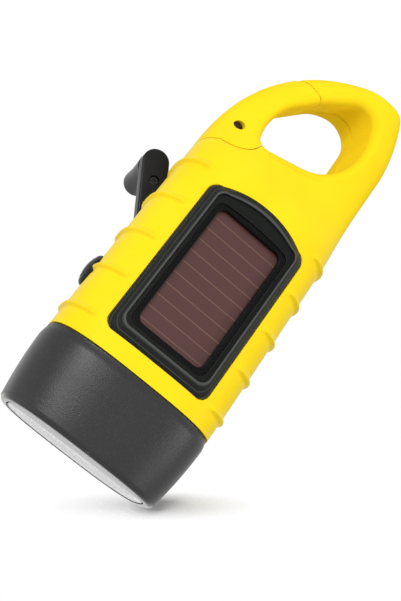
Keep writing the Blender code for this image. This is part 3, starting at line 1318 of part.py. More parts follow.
def make_button(front, rear, paints):
    """The side push button, its plunger and the switch that it works."""
    centre = (SPLIT_Y, BUTTON_Z)
    outer_x = -BODY_HALF_WIDTH
    for shell in (front, rear):
        cut(shell, rod("button_hole", BUTTON_RADIUS + GAP, -FAR, WALL_X + GAP, centre, "X"))
        seat_radius = BUTTON_RADIUS + BUTTON_FLANGE + GAP
        cut(shell, rod("flange_seat", seat_radius, WALL_X + GAP / 2, -BOARD_HALF_WIDTH, centre, "X"))
    profile = [
        (BUTTON_STEM_RADIUS, STEM_END_X),
        (BUTTON_STEM_RADIUS, FLANGE_END_X),
        (BUTTON_RADIUS + BUTTON_FLANGE, FLANGE_END_X),
        (BUTTON_RADIUS + BUTTON_FLANGE, FLANGE_START_X),
        (BUTTON_RADIUS, FLANGE_START_X),
    ]
    for turn in np.radians((0.0, 25.0, 50.0, 75.0)):
        profile.append((BUTTON_RADIUS * math.cos(turn), outer_x - BUTTON_RISE * math.sin(turn)))
    turned("switch_button", profile, centre, "X", paints["black_plastic"])
    steel = paints["steel"]
    rod("switch_plunger", PLUNGER_RADIUS, PLUNGER_START_X, PLUNGER_END_X, centre, "X", steel, SMALL_SIDES)
    case_start = PLUNGER_START_X + BUTTON_TRAVEL + GAP
    half = SWITCH_HALF_SIZE
    low = (case_start, SPLIT_Y - half, BUTTON_Z - half)
    high = (SWITCH_END_X, SPLIT_Y + half, BUTTON_Z + half)
    case = block("tact_switch", low, high, paints["black_plastic"])
    bore = PLUNGER_RADIUS + GAP
    cut(case, rod("plunger_bore", bore, -FAR, SWITCH_BORE_END_X, centre, "X", sides=SMALL_SIDES))
    low = (SWITCH_END_X + GAP, board_back_y() + GAP, BUTTON_Z - SWITCH_BOARD_HALF_HEIGHT)
    high = (SWITCH_BOARD_END_X, SPLIT_Y + half, BUTTON_Z + SWITCH_BOARD_HALF_HEIGHT)
    block("switch_board", low, high, paints["circuit_board"])


def board_back_y():
    """Back face of the main board."""
    return tray_back_y() + GAP + BOARD_THICKNESS


def make_electrics(paints):
    """The main board behind the panel, with the battery and its clip."""
    front_y = tray_back_y() + GAP
    back_y = board_back_y()
    low = (-BOARD_HALF_WIDTH, front_y, CRANK_Z + PLATE_HALF_WIDTH * BOARD_BOTTOM_SHARE)
    high = (BOARD_HALF_WIDTH, back_y, CRANK_Z + PLATE_HALF_WIDTH * BOARD_TOP_SHARE)
    block("main_board", low, high, paints["circuit_board"])
    battery_y = back_y + GAP
    thickness = (PLATE_BACK_Y - PLATE_THICKNESS - back_y) * BATTERY_THICKNESS_SHARE
    battery_end = battery_y + thickness
    edge = thickness / 8
    profile = (
        (BATTERY_RADIUS - edge, battery_y),
        (BATTERY_RADIUS, battery_y + edge),
        (BATTERY_RADIUS, battery_end - edge),
        (BATTERY_RADIUS - edge, battery_end),
    )
    turned("battery", profile, (0.0, BATTERY_Z), "Y", paints["steel"])
    inner = BATTERY_RADIUS + GAP
    outer = inner + CLIP_THICKNESS
    top_in, top_out = battery_end + GAP, battery_end + GAP + CLIP_THICKNESS
    outline = (
        (-outer, battery_y), (-outer, top_out), (outer, top_out), (outer, battery_y),
        (inner, battery_y), (inner, top_in), (-inner, top_in), (-inner, battery_y),
    )
    low_z, high_z = BATTERY_Z - CLIP_WIDTH / 2, BATTERY_Z + CLIP_WIDTH / 2
    rings = [lay(np.array(outline), "Z", z) for z in (low_z, high_z)]
    loft("battery_clip", rings, paints["steel"])


def main():
    """Builds the flashlight."""
    for old in list(bpy.data.objects):
        bpy.data.objects.remove(old)
    paints = make_materials()
    form = yellow_form()
    make_gate(form, paints)
    rear = make_shells(form, paints)
    crank_empty = make_crank(rear, paints)
    make_gears(rear, crank_empty, paints)
    crank_empty.rotation_euler = (0.0, CRANK_REST_ANGLE, 0.0)
    make_head(paints)
    make_electrics(paints)


main()
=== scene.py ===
"""Looks of a hand crank flashlight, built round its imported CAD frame.

Lengths are in millimetres until a surface becomes a mesh, which is in metres.
"""

import json
import math

import bmesh
import bpy
import numpy as np
from mathutils import Matrix

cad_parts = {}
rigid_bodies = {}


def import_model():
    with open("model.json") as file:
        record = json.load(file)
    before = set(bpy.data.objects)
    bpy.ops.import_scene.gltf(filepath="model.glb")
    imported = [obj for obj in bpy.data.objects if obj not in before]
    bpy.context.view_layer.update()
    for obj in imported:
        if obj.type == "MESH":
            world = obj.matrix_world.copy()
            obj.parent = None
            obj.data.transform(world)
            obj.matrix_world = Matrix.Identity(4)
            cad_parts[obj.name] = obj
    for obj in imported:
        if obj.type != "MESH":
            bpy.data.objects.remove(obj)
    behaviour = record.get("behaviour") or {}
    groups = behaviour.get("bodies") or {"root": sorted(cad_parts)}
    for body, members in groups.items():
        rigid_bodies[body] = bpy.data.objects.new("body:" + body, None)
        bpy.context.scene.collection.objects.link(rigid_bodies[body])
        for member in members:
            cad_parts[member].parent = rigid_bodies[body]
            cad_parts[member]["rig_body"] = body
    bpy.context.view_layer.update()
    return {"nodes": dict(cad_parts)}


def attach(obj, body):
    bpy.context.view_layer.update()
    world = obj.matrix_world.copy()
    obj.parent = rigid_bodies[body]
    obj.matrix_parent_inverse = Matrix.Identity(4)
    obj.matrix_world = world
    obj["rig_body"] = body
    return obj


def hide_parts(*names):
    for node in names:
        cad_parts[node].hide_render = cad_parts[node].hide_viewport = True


MM = 0.001

# Points closer than this are merged, and no half size that divides is smaller than the least.
MERGE_REACH, LEAST = 0.002 * MM, 0.001

# Tools reach this far past what they cut.
SHORT_OVERSHOOT, OVERSHOOT, FAR = 1.0, 4.0, 90.0

# Edges sharper than this many degrees stay sharp in the shading.
CREASE = 32.0

# Driving sizes of the yellow body, as the CAD has them.
JOINT_Z, APEX_Z = 21.6, 140.31
BODY_LENGTH = APEX_Z - JOINT_Z
BODY_HALF_WIDTH, BODY_HALF_DEPTH, HOOK_HALF_DEPTH = 26.2, 17.6, 9.5
HOOK_NARROWING, HOOK_EDGE_RADIUS, CROWN_END_TURN = 1.24, 3.0, 79.9
LEFT_CURVE_POWER, RIGHT_CURVE_POWER, BODY_POWER, HOOK_POWER = 2.113, 1.724, 3.0, 2.6
SPLIT_Y, GAP, WALL = 3.0, 0.3, 2.3


def of_width(share):
    """Distance of a share of the body's half width."""
    return BODY_HALF_WIDTH * share


def of_length(share):
    """Distance of a share of the body's length."""
    return BODY_LENGTH * share


def height_at(share):
    """Height of a share of the body's length above the head's joint."""
    return JOINT_Z + of_length(share)


# Places on the body, as shares of its length and half width.
APEX_X = of_width(0.6347)
NARROWING_Z, SHOULDER_Z = height_at(0.0876), height_at(0.51723)
LEFT_CURVE_Z, RIGHT_CURVE_Z = height_at(0.5912), height_at(0.8144)
FRAME_BOTTOM_Z, FRAME_TOP_Z = height_at(0.04633), height_at(0.48943)
FRONT_SLOPE_LENGTH = of_length(0.21902)
BACK_SLOPE_Z, BACK_SLOPE_LENGTH = height_at(0.55935), of_length(0.13478)
CAVITY_TOP_Z = height_at(0.53828)
RIB_FIRST_Z, RIB_PITCH, RIB_COUNT = height_at(0.05223), of_length(0.10952), 5
RIB_HEIGHT, RIB_CORE_SHARE = 0.9, 0.765
RIB_UPPER_SPREAD, RIB_LOWER_SPREAD, RIB_REACH = 0.9, 0.55, 2.4
RIB_CREASE, RIB_CREASE_DROP = 0.2, 2.2
SKIN_DEPTH, CORE_TAPER, CORE_OVERLAP = 1.3, 0.6, 2.0
LEVEL_PITCH = 0.7

# The inner part's holes are this much wider than the skin's, so that no two walls lie in one.
HAIR = 0.02

# Soft valleys along the gate's seams and the split line: depth and spread.
SEAM_VALLEY, SPLIT_VALLEY = (0.32, 0.75), (0.14, 0.6)
SEAM_REACH, VALLEY_FADE_DEPTH = 8.0, 4.0

# The hook's opening: x, z and corner radius on each face.
OPENING_FRONT = (
    (-12.3, 97.5, 3.2),
    (19.4, 107.5, 18.6),
    (9.9, 135.7, 5.9),
    (-4.2, 123.7, 20.5),
    (-14.8, 110.8, 18.2),
)
OPENING_BACK = (
    (-14.6, 99.3, 3.6),
    (12.2, 104.5, 8.5),
    (11.7, 134.5, 8.0),
    (-3.5, 128.3, 15.0),
    (-13.6, 115.0, 9.0),
)
OPENING_FRONT_ROUND, OPENING_BACK_ROUND = 3.0, 1.2

# The gate of the hook.
GATE_PIVOT = (-of_width(0.76718), height_at(0.64948))
GATE_ROOT_RADIUS, GATE_REACH, GATE_HEEL_SLOPE = of_width(0.31679), of_length(0.23839), 0.32
GATE_HEEL_TURN, GATE_ROOT_END_TURN = -104.0, 12.0
GATE_TIP_TURNS = (54.0, 84.0)
GATE_PIN_RADIUS, GATE_PIN_RECESS, PIN_EDGE = 1.4, 1.6, 0.2
TONGUE_RADIUS, TONGUE_NECK, TONGUE_FRONT_Y, TONGUE_BACK_Y = 5.2, 3.4, -2.6, 0.2
TONGUE_NECK_DROP, SPRING_SPACE = 12.4, 2.7

# Panel frame and cell.
FRAME_HALF_WIDTH, FRAME_TOP_SAG = 16.5, 3.1
FRAME_CORNER_RADIUS, FRAME_OPENING_RADIUS = 3.0, 2.3
FRAME_SIDE_INSET, FRAME_BOTTOM_INSET, FRAME_TOP_INSET = 5.8, 6.0, 7.4
FRAME_CREST, FRAME_PROUD, FRAME_BEVEL = 0.9, 0.2, 0.09
CELL_DEPTH, CELL_THICKNESS, CELL_LAP, CELL_BEVEL = 2.6, 2.0, 1.8, 0.1
CELL_FACE_Y = CELL_DEPTH - BODY_HALF_DEPTH
CELL_BACK_Y = CELL_FACE_Y + CELL_THICKNESS
FRAME_UNDER_Y, FRAME_STEP_Y = CELL_FACE_Y - GAP, -BODY_HALF_DEPTH
FRAME_CREST_Y = FRAME_STEP_Y - FRAME_CREST
FRAME_LEDGE_Y = (FRAME_CREST_Y + FRAME_UNDER_Y) / 2
CELL_LINE_PITCH, CELL_FIRST_LINE, CELL_LINES_BELOW = 3.84, 3.0, 40

# Head, which steps out from the body and is drawn in again to its rim.
HEAD_STEP_WIDTH, HEAD_STEP_DEPTH, RIM_TAPER_WIDTH, RIM_TAPER_DEPTH = 0.4, 0.5, 2.4, 0.9
HEAD_TOP_Z, RIM_Z, RIM_EDGE_RADIUS, RIM_LIP = JOINT_Z - GAP, -1.2, 1.2, 2.3
HEAD_HALF_WIDTH, HEAD_HALF_DEPTH = BODY_HALF_WIDTH + HEAD_STEP_WIDTH, BODY_HALF_DEPTH + HEAD_STEP_DEPTH
RIM_HALF_WIDTH, RIM_HALF_DEPTH = HEAD_HALF_WIDTH - RIM_TAPER_WIDTH, HEAD_HALF_DEPTH - RIM_TAPER_DEPTH
HEAD_POWER, HEAD_CURVE_POWER = 2.8, 1.9
HEAD_SHOULDER_DROP, HEAD_SHOULDER_SHARE, SOFT_BEVEL = 0.4, 0.12, 0.15
LENS_THICKNESS, SEAL_THICKNESS, SEAL_WIDTH, LEDGE_THICKNESS = 1.5, 0.8, 1.1, 1.1
REFLECTOR_DEPTH, REFLECTOR_WALL, REFLECTOR_LIP = 7.4, 0.9, 1.2
REFLECTOR_FLOOR = (12.5, 4.6)
WINDOW_CROWN_Z, WINDOW_EDGE_Z, WINDOW_EDGE = -1.18, -1.1, 0.12
SPIGOT_LENGTH, LED_BOARD_THICKNESS = 7.0, 1.4
SPIGOT_Z = JOINT_Z - SPIGOT_LENGTH
LED_RADIUS, LED_FLANGE, LED_FLANGE_HEIGHT, LED_HEIGHT, LED_PITCH = 2.5, 0.4, 1.0, 7.8, 8.2
LED_EDGE = 0.1

# Crank.
CRANK_Z, CRANK_LENGTH, CRANK_TURN = height_at(0.1154), 59.4, math.radians(-31.4)
LAND_HEIGHT, HUB_DISC, HUB_RADIUS, SHAFT_RADIUS, SHAFT_FLAT = 0.2, 1.6, 7.5, 2.5, 0.6
ARM_THICKNESS, ARM_HALF_WIDTH, ARM_NECK, ARM_NECK_LENGTH = 4.5, 4.3, 3.0, 3.4
ARM_EDGE, ARM_SCREW_OFFSET, ARM_SCREW_RADIUS, ARM_RECESS = 0.5, 6.0, 1.3, 0.7
HUB_Y = BODY_HALF_DEPTH + LAND_HEIGHT + GAP
ARM_Y = HUB_Y + HUB_DISC + GAP
EAR_THICKNESS, FOLD_PIN_RADIUS, FOLD_Y = 2.0, 0.9, ARM_Y + ARM_THICKNESS / 2
KNOB_RADIUS, KNOB_LENGTH, KNOB_PIN_RADIUS, KNOB_WAIST = 4.4, 20.0, 1.4, 0.94
KNOB_CLEARANCE, BUSH_RADIUS = 0.4, 4.2

# Button and screws.
BUTTON_Z, BUTTON_RADIUS, BUTTON_RISE, BUTTON_FLANGE = 41.0, 5.1, 2.0, 1.0
BUTTON_STEM_RADIUS, BUTTON_STEM_END = 1.6, -20.5
BUTTON_FLANGE_ENDS = (-23.3, -22.3)
BUTTON_RINGS, BUTTON_RING_HEIGHT, BUTTON_RING_SPREAD = (2.4, 3.5), 0.12, 0.22
SCREW_HEAD, SCREW_SHANK, SCREW_HEAD_THICKNESS, SCREW_TIP = 2.6, 1.3, 1.6, 1.2
CROSS_LENGTH, CROSS_WIDTH, CROSS_DEPTH = 0.62, 0.17, 0.42

# Housing screws: x, z, the depth of the seat and the length from it to the tip. Two pairs hold the
# grip, and one shorter screw the hook.
SCREWS = [
    (side * of_width(x), height_at(z), 7.5, 12.5)
    for x, z in ((0.65649, 0.05055), (0.62977, 0.50038))
    for side in (-1, 1)
]
SCREWS.append((of_width(0.68702), height_at(0.82049), 6.0, 9.0))

# Points round a body, and the radius of the narrowest ring at a pole.
RING, POLE = 288, 0.3

# Finishes: heights between which the gloss changes, distances of the painted highlights along the frame's
# crest and ledge edges, wire.
HOOK_DULL_Z, HOOK_DULLNESS = (88.0, 104.0), 0.5
LIP_POLISH_Z, LIP_POLISH = (RIM_Z + 0.4, RIM_Z + 1.2), 0.28
CREST_HIGHLIGHT_START, CREST_HIGHLIGHT_END, LEDGE_HIGHLIGHT_DEPTH = 0.34, 0.05, 0.11
WIRE_PITCH = 0.25

# The camera's axes and place, in metres.
RIGHT = np.array((0.757504, -0.32631, 0.565428))
UP = np.array((-0.632794, -0.15408, 0.758835))
BACK = np.array((-0.160494, -0.932621, -0.323203))
CAMERA_PLACE = np.array((-0.036839, -0.229234, -0.025849))
CAMERA_LENS = 52.383

# Lamps: name, direction on the camera's axes, distance and size in metres, power in watts.
LAMPS = (
    ("key", (0.04, 0.47, 0.88), 0.7, 0.24, 3.0),
    ("fill", (0.86, -0.35, 0.365), 0.8, 0.16, 1.3),
    ("side", (-0.85, 0.15, 0.45), 0.8, 0.8, 1.15),
)
LAMP_TARGET = np.array((0.0, 0.0, 0.065))
AMBIENT = 0.55

# Floor and the shadow that it holds, in metres.
FLOOR_TILT, FLOOR_RADIUS, FLOOR_SIDES = math.radians(4.5), 0.35, 96
FLOOR_COLOUR, FLOOR_GLOW = (0.9, 0.9, 0.9, 1.0), 0.035
SHADOW_SHIFT, SHADOW_SQUEEZE, SHADOW_FADE = (-0.0043, 0.0, 0.0), (1.0, 2.2, 1.0), (0.0085, 0.028)
SHADOW_LEFT_SPAN, SHADOW_LEFT_SHARE = (-0.002, 0.006), 0.45


# Surfaces


def quads(rows, columns, wrap_rows=False):
    """Four corners of every cell of a grid whose columns close on themselves: row by row, each
    cell joins a point, its neighbour in the ring, and the same two points of the next ring."""
    last = rows if wrap_rows else rows - 1
    row, column = np.meshgrid(np.arange(last), np.arange(columns), indexing="ij")
    beside, above = (column + 1) % columns, (row + 1) % rows
    corners = (
        row * columns + column,
        row * columns + beside,
        above * columns + beside,
        above * columns + column,
    )
    return np.stack(corners, axis=-1).reshape(-1, 4)


def finish_shading(piece, crease):
    """Smooth across gentle edges, sharp where two faces meet at more than the crease angle."""
    piece.data.shade_smooth()
    piece.data.set_sharp_from_angle(angle=math.radians(crease))
    return piece


def skin(name, rings, wrap=False, crease=CREASE):
    """A closed body from a grid of points, ring after ring. Its ends are fans to the middle of the
    first and the last ring, unless the rings wrap round into a loop."""
    rings = np.asarray(rings, float) * MM
    rows, columns = rings.shape[:2]
    points = rings.reshape(-1, 3)
    faces = quads(rows, columns, wrap).tolist()
    if not wrap:
        ahead = np.roll(np.arange(columns), -1)
        ends = np.stack((rings[0].mean(axis=0), rings[-1].mean(axis=0)))
        points = np.vstack((points, ends))
        first, last = rows * columns, rows * columns + 1
        start = (rows - 1) * columns
        here = np.arange(columns)
        faces += np.stack((ahead, here, np.full(columns, first)), axis=1).tolist()
        faces += np.stack((start + here, start + ahead, np.full(columns, last)), axis=1).tolist()
    mesh = bpy.data.meshes.new(name)
    mesh.from_pydata(points.tolist(), [], faces)
    work = bmesh.new()
    work.from_mesh(mesh)
    bmesh.ops.recalc_face_normals(work, faces=work.faces)
    work.to_mesh(mesh)
    work.free()
    piece = bpy.data.objects.new(name, mesh)
    bpy.context.collection.objects.link(piece)
    return finish_shading(piece, crease)


def lay(flat, axis, height):
    """Places plane points, given as two coordinates, at a height along an axis."""
    first, second = flat[..., 0], flat[..., 1]
    level = np.broadcast_to(height, first.shape)
    order = {"X": (level, first, second), "Y": (first, level, second), "Z": (first, second, level)}
    return np.stack(order[axis], axis=-1)


def circle(sides):
    """Unit circle: the cosine and sine of equal turns."""
    turn = np.linspace(0.0, 2.0 * math.pi, sides, endpoint=False)
    return np.stack((np.cos(turn), np.sin(turn)), axis=1)


def turned(name, profile, centre, axis="Y", sides=64, wrap=False, crease=CREASE):
    """A profile of (radius, height) pairs carried round an axis: each pair gives one circle of
    that radius about the centre, at that height."""
    profile = np.asarray(profile, float)
    flat = profile[:, None, :1] * circle(sides)[None] + np.asarray(centre, float)
    return skin(name, lay(flat, axis, profile[:, 1:2]), wrap, crease)


def rod(name, radius, start, end, centre, axis="Y", sides=64, edge=0.0):
    """A round bar: the circle of the radius carried from start to end, drawn in at each end by a
    quarter round of the edge radius where one is given."""
    if not edge:
        return turned(name, ((radius, start), (radius, end)), centre, axis, sides)
    turn = np.radians(np.linspace(0.0, 90.0, 5))
    low = np.stack((radius - edge + edge * np.sin(turn), start + edge - edge * np.cos(turn)), axis=1)
    high = np.stack((low[::-1, 0], end - (low[::-1, 1] - start)), axis=1)
    return turned(name, np.vstack((low, high)), centre, axis, sides)


def slab(name, outline, start, end, axis="Y", crease=CREASE):
    """A flat outline carried straight along an axis from start to end."""
    outline = np.asarray(outline, float)
    return skin(name, np.stack((lay(outline, axis, start), lay(outline, axis, end))), crease=crease)


def block(name, low, high):
    """The box between two corners, as its X and Z outline carried along Y."""
    outline = ((low[0], low[2]), (high[0], low[2]), (high[0], high[2]), (low[0], high[2]))
    return slab(name, outline, low[1], high[1])


def carve(target, tools, operation="DIFFERENCE", keep=False, crease=CREASE):
    """Takes each tool away from the target, joins it on, or keeps only what they share."""
    for tool in tools:
        step = target.modifiers.new("carve", "BOOLEAN")
        step.operation, step.object, step.solver = operation, tool, "MANIFOLD"
    bpy.context.view_layer.update()
    graph = bpy.context.evaluated_depsgraph_get()
    mesh = bpy.data.meshes.new_from_object(target.evaluated_get(graph))
    target.modifiers.clear()
    target.data = mesh
    if not keep:
        for tool in tools:
            bpy.data.objects.remove(tool)
    return finish_shading(target, crease)


def copy_of(source, name):
    """A second piece with a mesh of its own."""
    made = source.copy()
    made.data = source.data.copy()
    made.name = name
    bpy.context.collection.objects.link(made)
    return made


def soften(piece, width, segments=3, angle=CREASE):
    """Rounds the edges sharper than an angle with a live bevel."""
    bevel = piece.modifiers.new("soft_edges", "BEVEL")
    bevel.width, bevel.segments = width * MM, segments
    bevel.limit_method, bevel.angle_limit = "ANGLE", math.radians(angle)
    return piece


# Yellow body


def smooth_step(value, start, end):
    """Rises from 0 at the start to 1 at the end with level ends: 3t^2 - 2t^3."""
    share = np.clip((value - start) / (end - start), 0.0, 1.0)
    return share * share * (3.0 - 2.0 * share)


def arch(rise, power):
    """Quarter of a superellipse: (1 - rise^power)^(1/power)."""
    return (1.0 - np.clip(rise, 0.0, 1.0) ** power) ** (1.0 / power)


def side_limits(z):
    """Left and right edge of the body at a height: straight below, superellipse arches to the
    apex above, with the right edge drawn in slightly on the way up."""
    left_rise = (z - LEFT_CURVE_Z) / (APEX_Z - LEFT_CURVE_Z)
    right_rise = (z - RIGHT_CURVE_Z) / (APEX_Z - RIGHT_CURVE_Z)
    narrowing = np.clip((z - NARROWING_Z) / (LEFT_CURVE_Z - NARROWING_Z), 0.0, 1.0)
    right_reach = BODY_HALF_WIDTH - HOOK_NARROWING * narrowing
    left = APEX_X - (APEX_X + BODY_HALF_WIDTH) * arch(left_rise, LEFT_CURVE_POWER)
    right = APEX_X + (right_reach - APEX_X) * arch(right_rise, RIGHT_CURVE_POWER)
    return left, right


def depth_limits(z):
    """Front and back depth on the middle line: full at the panel, thinned to the hook by a smooth
    step, rounded off by a quarter circle under the apex."""
    thinning = BODY_HALF_DEPTH - HOOK_HALF_DEPTH
    crown = arch((z - APEX_Z + HOOK_EDGE_RADIUS) / HOOK_EDGE_RADIUS, 2.0)
    front = BODY_HALF_DEPTH - thinning * smooth_step(z, FRAME_TOP_Z, FRAME_TOP_Z + FRONT_SLOPE_LENGTH)
    back = BODY_HALF_DEPTH - thinning * smooth_step(z, BACK_SLOPE_Z, BACK_SLOPE_Z + BACK_SLOPE_LENGTH)
    return front * crown, back * crown


def roundness(z):
    """Superellipse power of the section, easing from the grip's to the hook's."""
    return BODY_POWER + (HOOK_POWER - BODY_POWER) * smooth_step(z, SHOULDER_Z, RIGHT_CURVE_Z)


def surface_depth(x, z, side):
    """Depth of the body's surface at a place on the front (-1) or the back (+1)."""
    left, right = side_limits(z)
    front, back = depth_limits(z)
    across = np.abs(x - (left + right) / 2) / ((right - left) / 2)
    return (front if side < 0 else back) * arch(across, roundness(z))


def signed_power(value, power):
    """A power of the size of a value, with the value's own sign."""
    return np.sign(value) * np.abs(value) ** power


def even_turns(count, half_width, half_depth, power):
    """Turn values that space the points of a superellipse evenly along its edge."""
    turn = np.linspace(0.0, 2.0 * math.pi, 24001)
    x = half_width * signed_power(np.cos(turn), 2.0 / power)
    y = half_depth * signed_power(np.sin(turn), 2.0 / power)
    length = np.concatenate(((0.0,), np.cumsum(np.hypot(np.diff(x), np.diff(y)))))
    return np.interp(np.linspace(0.0, length[-1], count, endpoint=False), length, turn)


def ovals(z, half_width, half_depth, power, count=RING):
    """Centred superellipse rings: |x/a|^n + |y/b|^n = 1 at each height."""
    z, half_width, half_depth = (np.atleast_1d(np.asarray(v, float)) for v in (z, half_width, half_depth))
    turn = even_turns(count, half_width.max(), half_depth.max(), power)
    x = half_width[:, None] * signed_power(np.cos(turn), 2.0 / power)[None]
    y = half_depth[:, None] * signed_power(np.sin(turn), 2.0 / power)[None]
    return np.stack((x, y, np.broadcast_to(z[:, None], x.shape)), axis=-1)


def rib_lift(z, spread):
    """Height of the grip ribs: a bell curve about each rib's line, steeper below than above, with
    a faint crease under it. It fades by another bell curve where the line stops short of the
    panel."""
    centres = RIB_FIRST_Z + RIB_PITCH * np.arange(RIB_COUNT)
    offsets = z[..., None] - centres
    nearest = np.abs(offsets).argmin(axis=-1)[..., None]
    up = np.take_along_axis(offsets, nearest, axis=-1)[..., 0]
    spread_z = np.where(up > 0.0, RIB_UPPER_SPREAD, RIB_LOWER_SPREAD)
    inside = np.maximum(RIB_CORE_SHARE - spread, 0.0) * BODY_HALF_WIDTH
    end = np.exp(-((inside / RIB_UPPER_SPREAD) ** 2))
    crease = RIB_CREASE * np.exp(-((up / RIB_LOWER_SPREAD + RIB_CREASE_DROP) ** 2))
    return (RIB_HEIGHT * np.exp(-((up / spread_z) ** 2)) - crease) * end


def distance_to(line, x, z):
    """Shortest distance from each place to a chain of straight pieces."""
    start, end = line[:-1], line[1:]
    along = end - start
    place = np.stack((x, z), axis=-1)[..., None, :]
    share = ((place - start) * along).sum(-1) / (along**2).sum(-1)
    nearest = start + np.clip(share, 0.0, 1.0)[..., None] * along
    return np.sqrt(((place - nearest) ** 2).sum(-1)).min(axis=-1)


def gate_line():
    """Edge of the gate in X and Z: a straight heel, the root circle about the pivot, then the
    arc about the pivot at the tip."""
    pivot = np.array(GATE_PIVOT)
    root = np.radians(np.linspace(GATE_HEEL_TURN, GATE_ROOT_END_TURN, 60))
    tip = np.radians(np.linspace(*GATE_TIP_TURNS, 40))
    low = pivot + GATE_ROOT_RADIUS * np.stack((np.cos(root), np.sin(root)), axis=1)
    heel = low[:1] - BODY_HALF_WIDTH * np.array((1.0, GATE_HEEL_SLOPE))
    high = pivot + GATE_REACH * np.stack((np.cos(tip), np.sin(tip)), axis=1)
    return np.vstack((heel, low)), high


def body_surface(levels, turns):
    """The yellow body as rings of superellipses between the side and depth limits of each height,
    moved along their own normal by the ribs, less the soft valleys at the gate's seams and the
    split line."""
    z = levels[:, None] * np.ones_like(turns)[None]
    left, right = side_limits(z)
    front, back = depth_limits(z)
    half, power = (right - left) / 2, roundness(z)
    u = signed_power(np.cos(turns)[None], 2.0 / power)
    v = signed_power(np.sin(turns)[None], 2.0 / power)
    depth = np.maximum(np.where(v < 0, front, back), LEAST)
    x, y = (left + right) / 2 + half * u, depth * v
    out_x = signed_power(u, power - 1.0) / np.maximum(half, LEAST)
    out_y = signed_power(v, power - 1.0) / depth
    size = np.hypot(out_x, out_y)
    root_line, tip_line = gate_line()
    near = z > LEFT_CURVE_Z - SEAM_REACH
    away = np.full(z.shape, FAR)
    away[near] = np.minimum(
        distance_to(root_line, x[near], z[near]), distance_to(tip_line, x[near], z[near])
    )
    valley = sum(
        deepest * np.exp(-((offset / spread) ** 2))
        for offset, (deepest, spread) in ((away, SEAM_VALLEY), (y - SPLIT_Y, SPLIT_VALLEY))
    )
    lift = rib_lift(z, np.abs(u)) - valley * smooth_step(depth, 0.0, VALLEY_FADE_DEPTH)
    return np.stack((x + out_x / size * lift, y + out_y / size * lift, z), axis=-1)


def body_form():
    """The whole yellow body, closed, from the head's joint to the hook's top."""
    ribs = RIB_FIRST_Z + RIB_PITCH * np.arange(RIB_COUNT)[:, None]
    plain = np.arange(JOINT_Z, LEFT_CURVE_Z, LEVEL_PITCH)
    plain = plain[np.abs(plain - ribs).min(axis=0) > RIB_REACH]
    fine = (ribs + np.linspace(-RIB_REACH, RIB_REACH, 22)).ravel()
    straight = np.sort(np.concatenate((plain, fine)))
    top_start = APEX_Z - HOOK_EDGE_RADIUS
    rise = np.sin(np.linspace(0.0, math.pi / 2, 120))
    curved = LEFT_CURVE_Z + (top_start - LEFT_CURVE_Z) * rise
    crown_turn = np.radians(np.linspace(0.0, CROWN_END_TURN, 22))[1:]
    crown = top_start + HOOK_EDGE_RADIUS * np.sin(crown_turn)
    levels = np.concatenate((straight, curved, crown))
    turns = even_turns(RING, BODY_HALF_WIDTH, BODY_HALF_DEPTH, BODY_POWER)
    return skin("body_form", body_surface(levels, turns))


def rounded_outline(corners, grow, steps=26):
    """A polygon whose corners are arcs of their own radius, grown outwards by a distance."""
    corners = np.asarray(corners, float)
    place, radius = corners[:, :2], corners[:, 2:]
    before = np.roll(place, 1, axis=0) - place
    after = np.roll(place, -1, axis=0) - place
    before /= np.linalg.norm(before, axis=1, keepdims=True)
    after /= np.linalg.norm(after, axis=1, keepdims=True)
    half = np.arccos(np.clip((before * after).sum(1, keepdims=True), -1.0, 1.0)) / 2
    inward = before + after
    inward /= np.linalg.norm(inward, axis=1, keepdims=True)
    middle = place + inward * radius / np.sin(half)
    start = np.arctan2(before[:, 0], -before[:, 1])
    end = np.arctan2(-after[:, 0], after[:, 1])
    end = np.where(end < start, end + 2.0 * math.pi, end)
    turn = start[:, None] + (end - start)[:, None] * np.linspace(0.0, 1.0, steps)[None]
    ring = np.stack((np.cos(turn), np.sin(turn)), axis=-1)
    return (middle[:, None] + (radius + grow)[:, None] * ring).reshape(-1, 2)


def opening_tool():
    """What the hook's opening takes away: the rounded outline of the front face carried to that
    of the back face, with quarter rounds that flare out at both surfaces."""
    rings = []
    turns = np.linspace(0.0, math.pi / 2, 13)[:, None]
    for side, radius, corners in (
        (-1, OPENING_FRONT_ROUND, OPENING_FRONT),
        (1, OPENING_BACK_ROUND, OPENING_BACK),
    ):
        plain = rounded_outline(corners, 0.0)
        flared = rounded_outline(corners, 1.0)
        grow = radius * (1.0 - np.sin(turns))
        outline = plain[None] + (flared - plain)[None] * grow[..., None]
        depth = surface_depth(outline[..., 0], outline[..., 1], side)
        level = side * (depth - radius * (1.0 - np.cos(turns)))
        stack = lay(outline, "Y", level)
        outside = stack[:1] + np.array((0.0, side * OVERSHOOT, 0.0))
        stack = np.concatenate((outside, stack))
        rings.append(stack if side < 0 else stack[::-1])
    return skin("opening_tool", np.concatenate(rings))


def grown_outline(points, distance):
    """An anticlockwise outline moved outwards by a distance along its corner bisectors."""
    ahead = np.roll(points, -1, axis=0) - points
    ahead /= np.linalg.norm(ahead, axis=1, keepdims=True)
    normal = np.stack((ahead[:, 1], -ahead[:, 0]), axis=1)
    middle = normal + np.roll(normal, 1, axis=0)
    return points + distance * middle * 2.0 / (middle**2).sum(axis=1, keepdims=True)


def gate_space(name, grow):
    """The gate's own space, front to back, grown by a clearance."""
    root_line, tip_line = gate_line()
    corner = np.array(GATE_PIVOT) + np.array((-BODY_HALF_WIDTH, GATE_REACH))
    outline = np.vstack((root_line, tip_line, corner))
    return slab(name, grown_outline(outline, grow), -FAR, FAR)


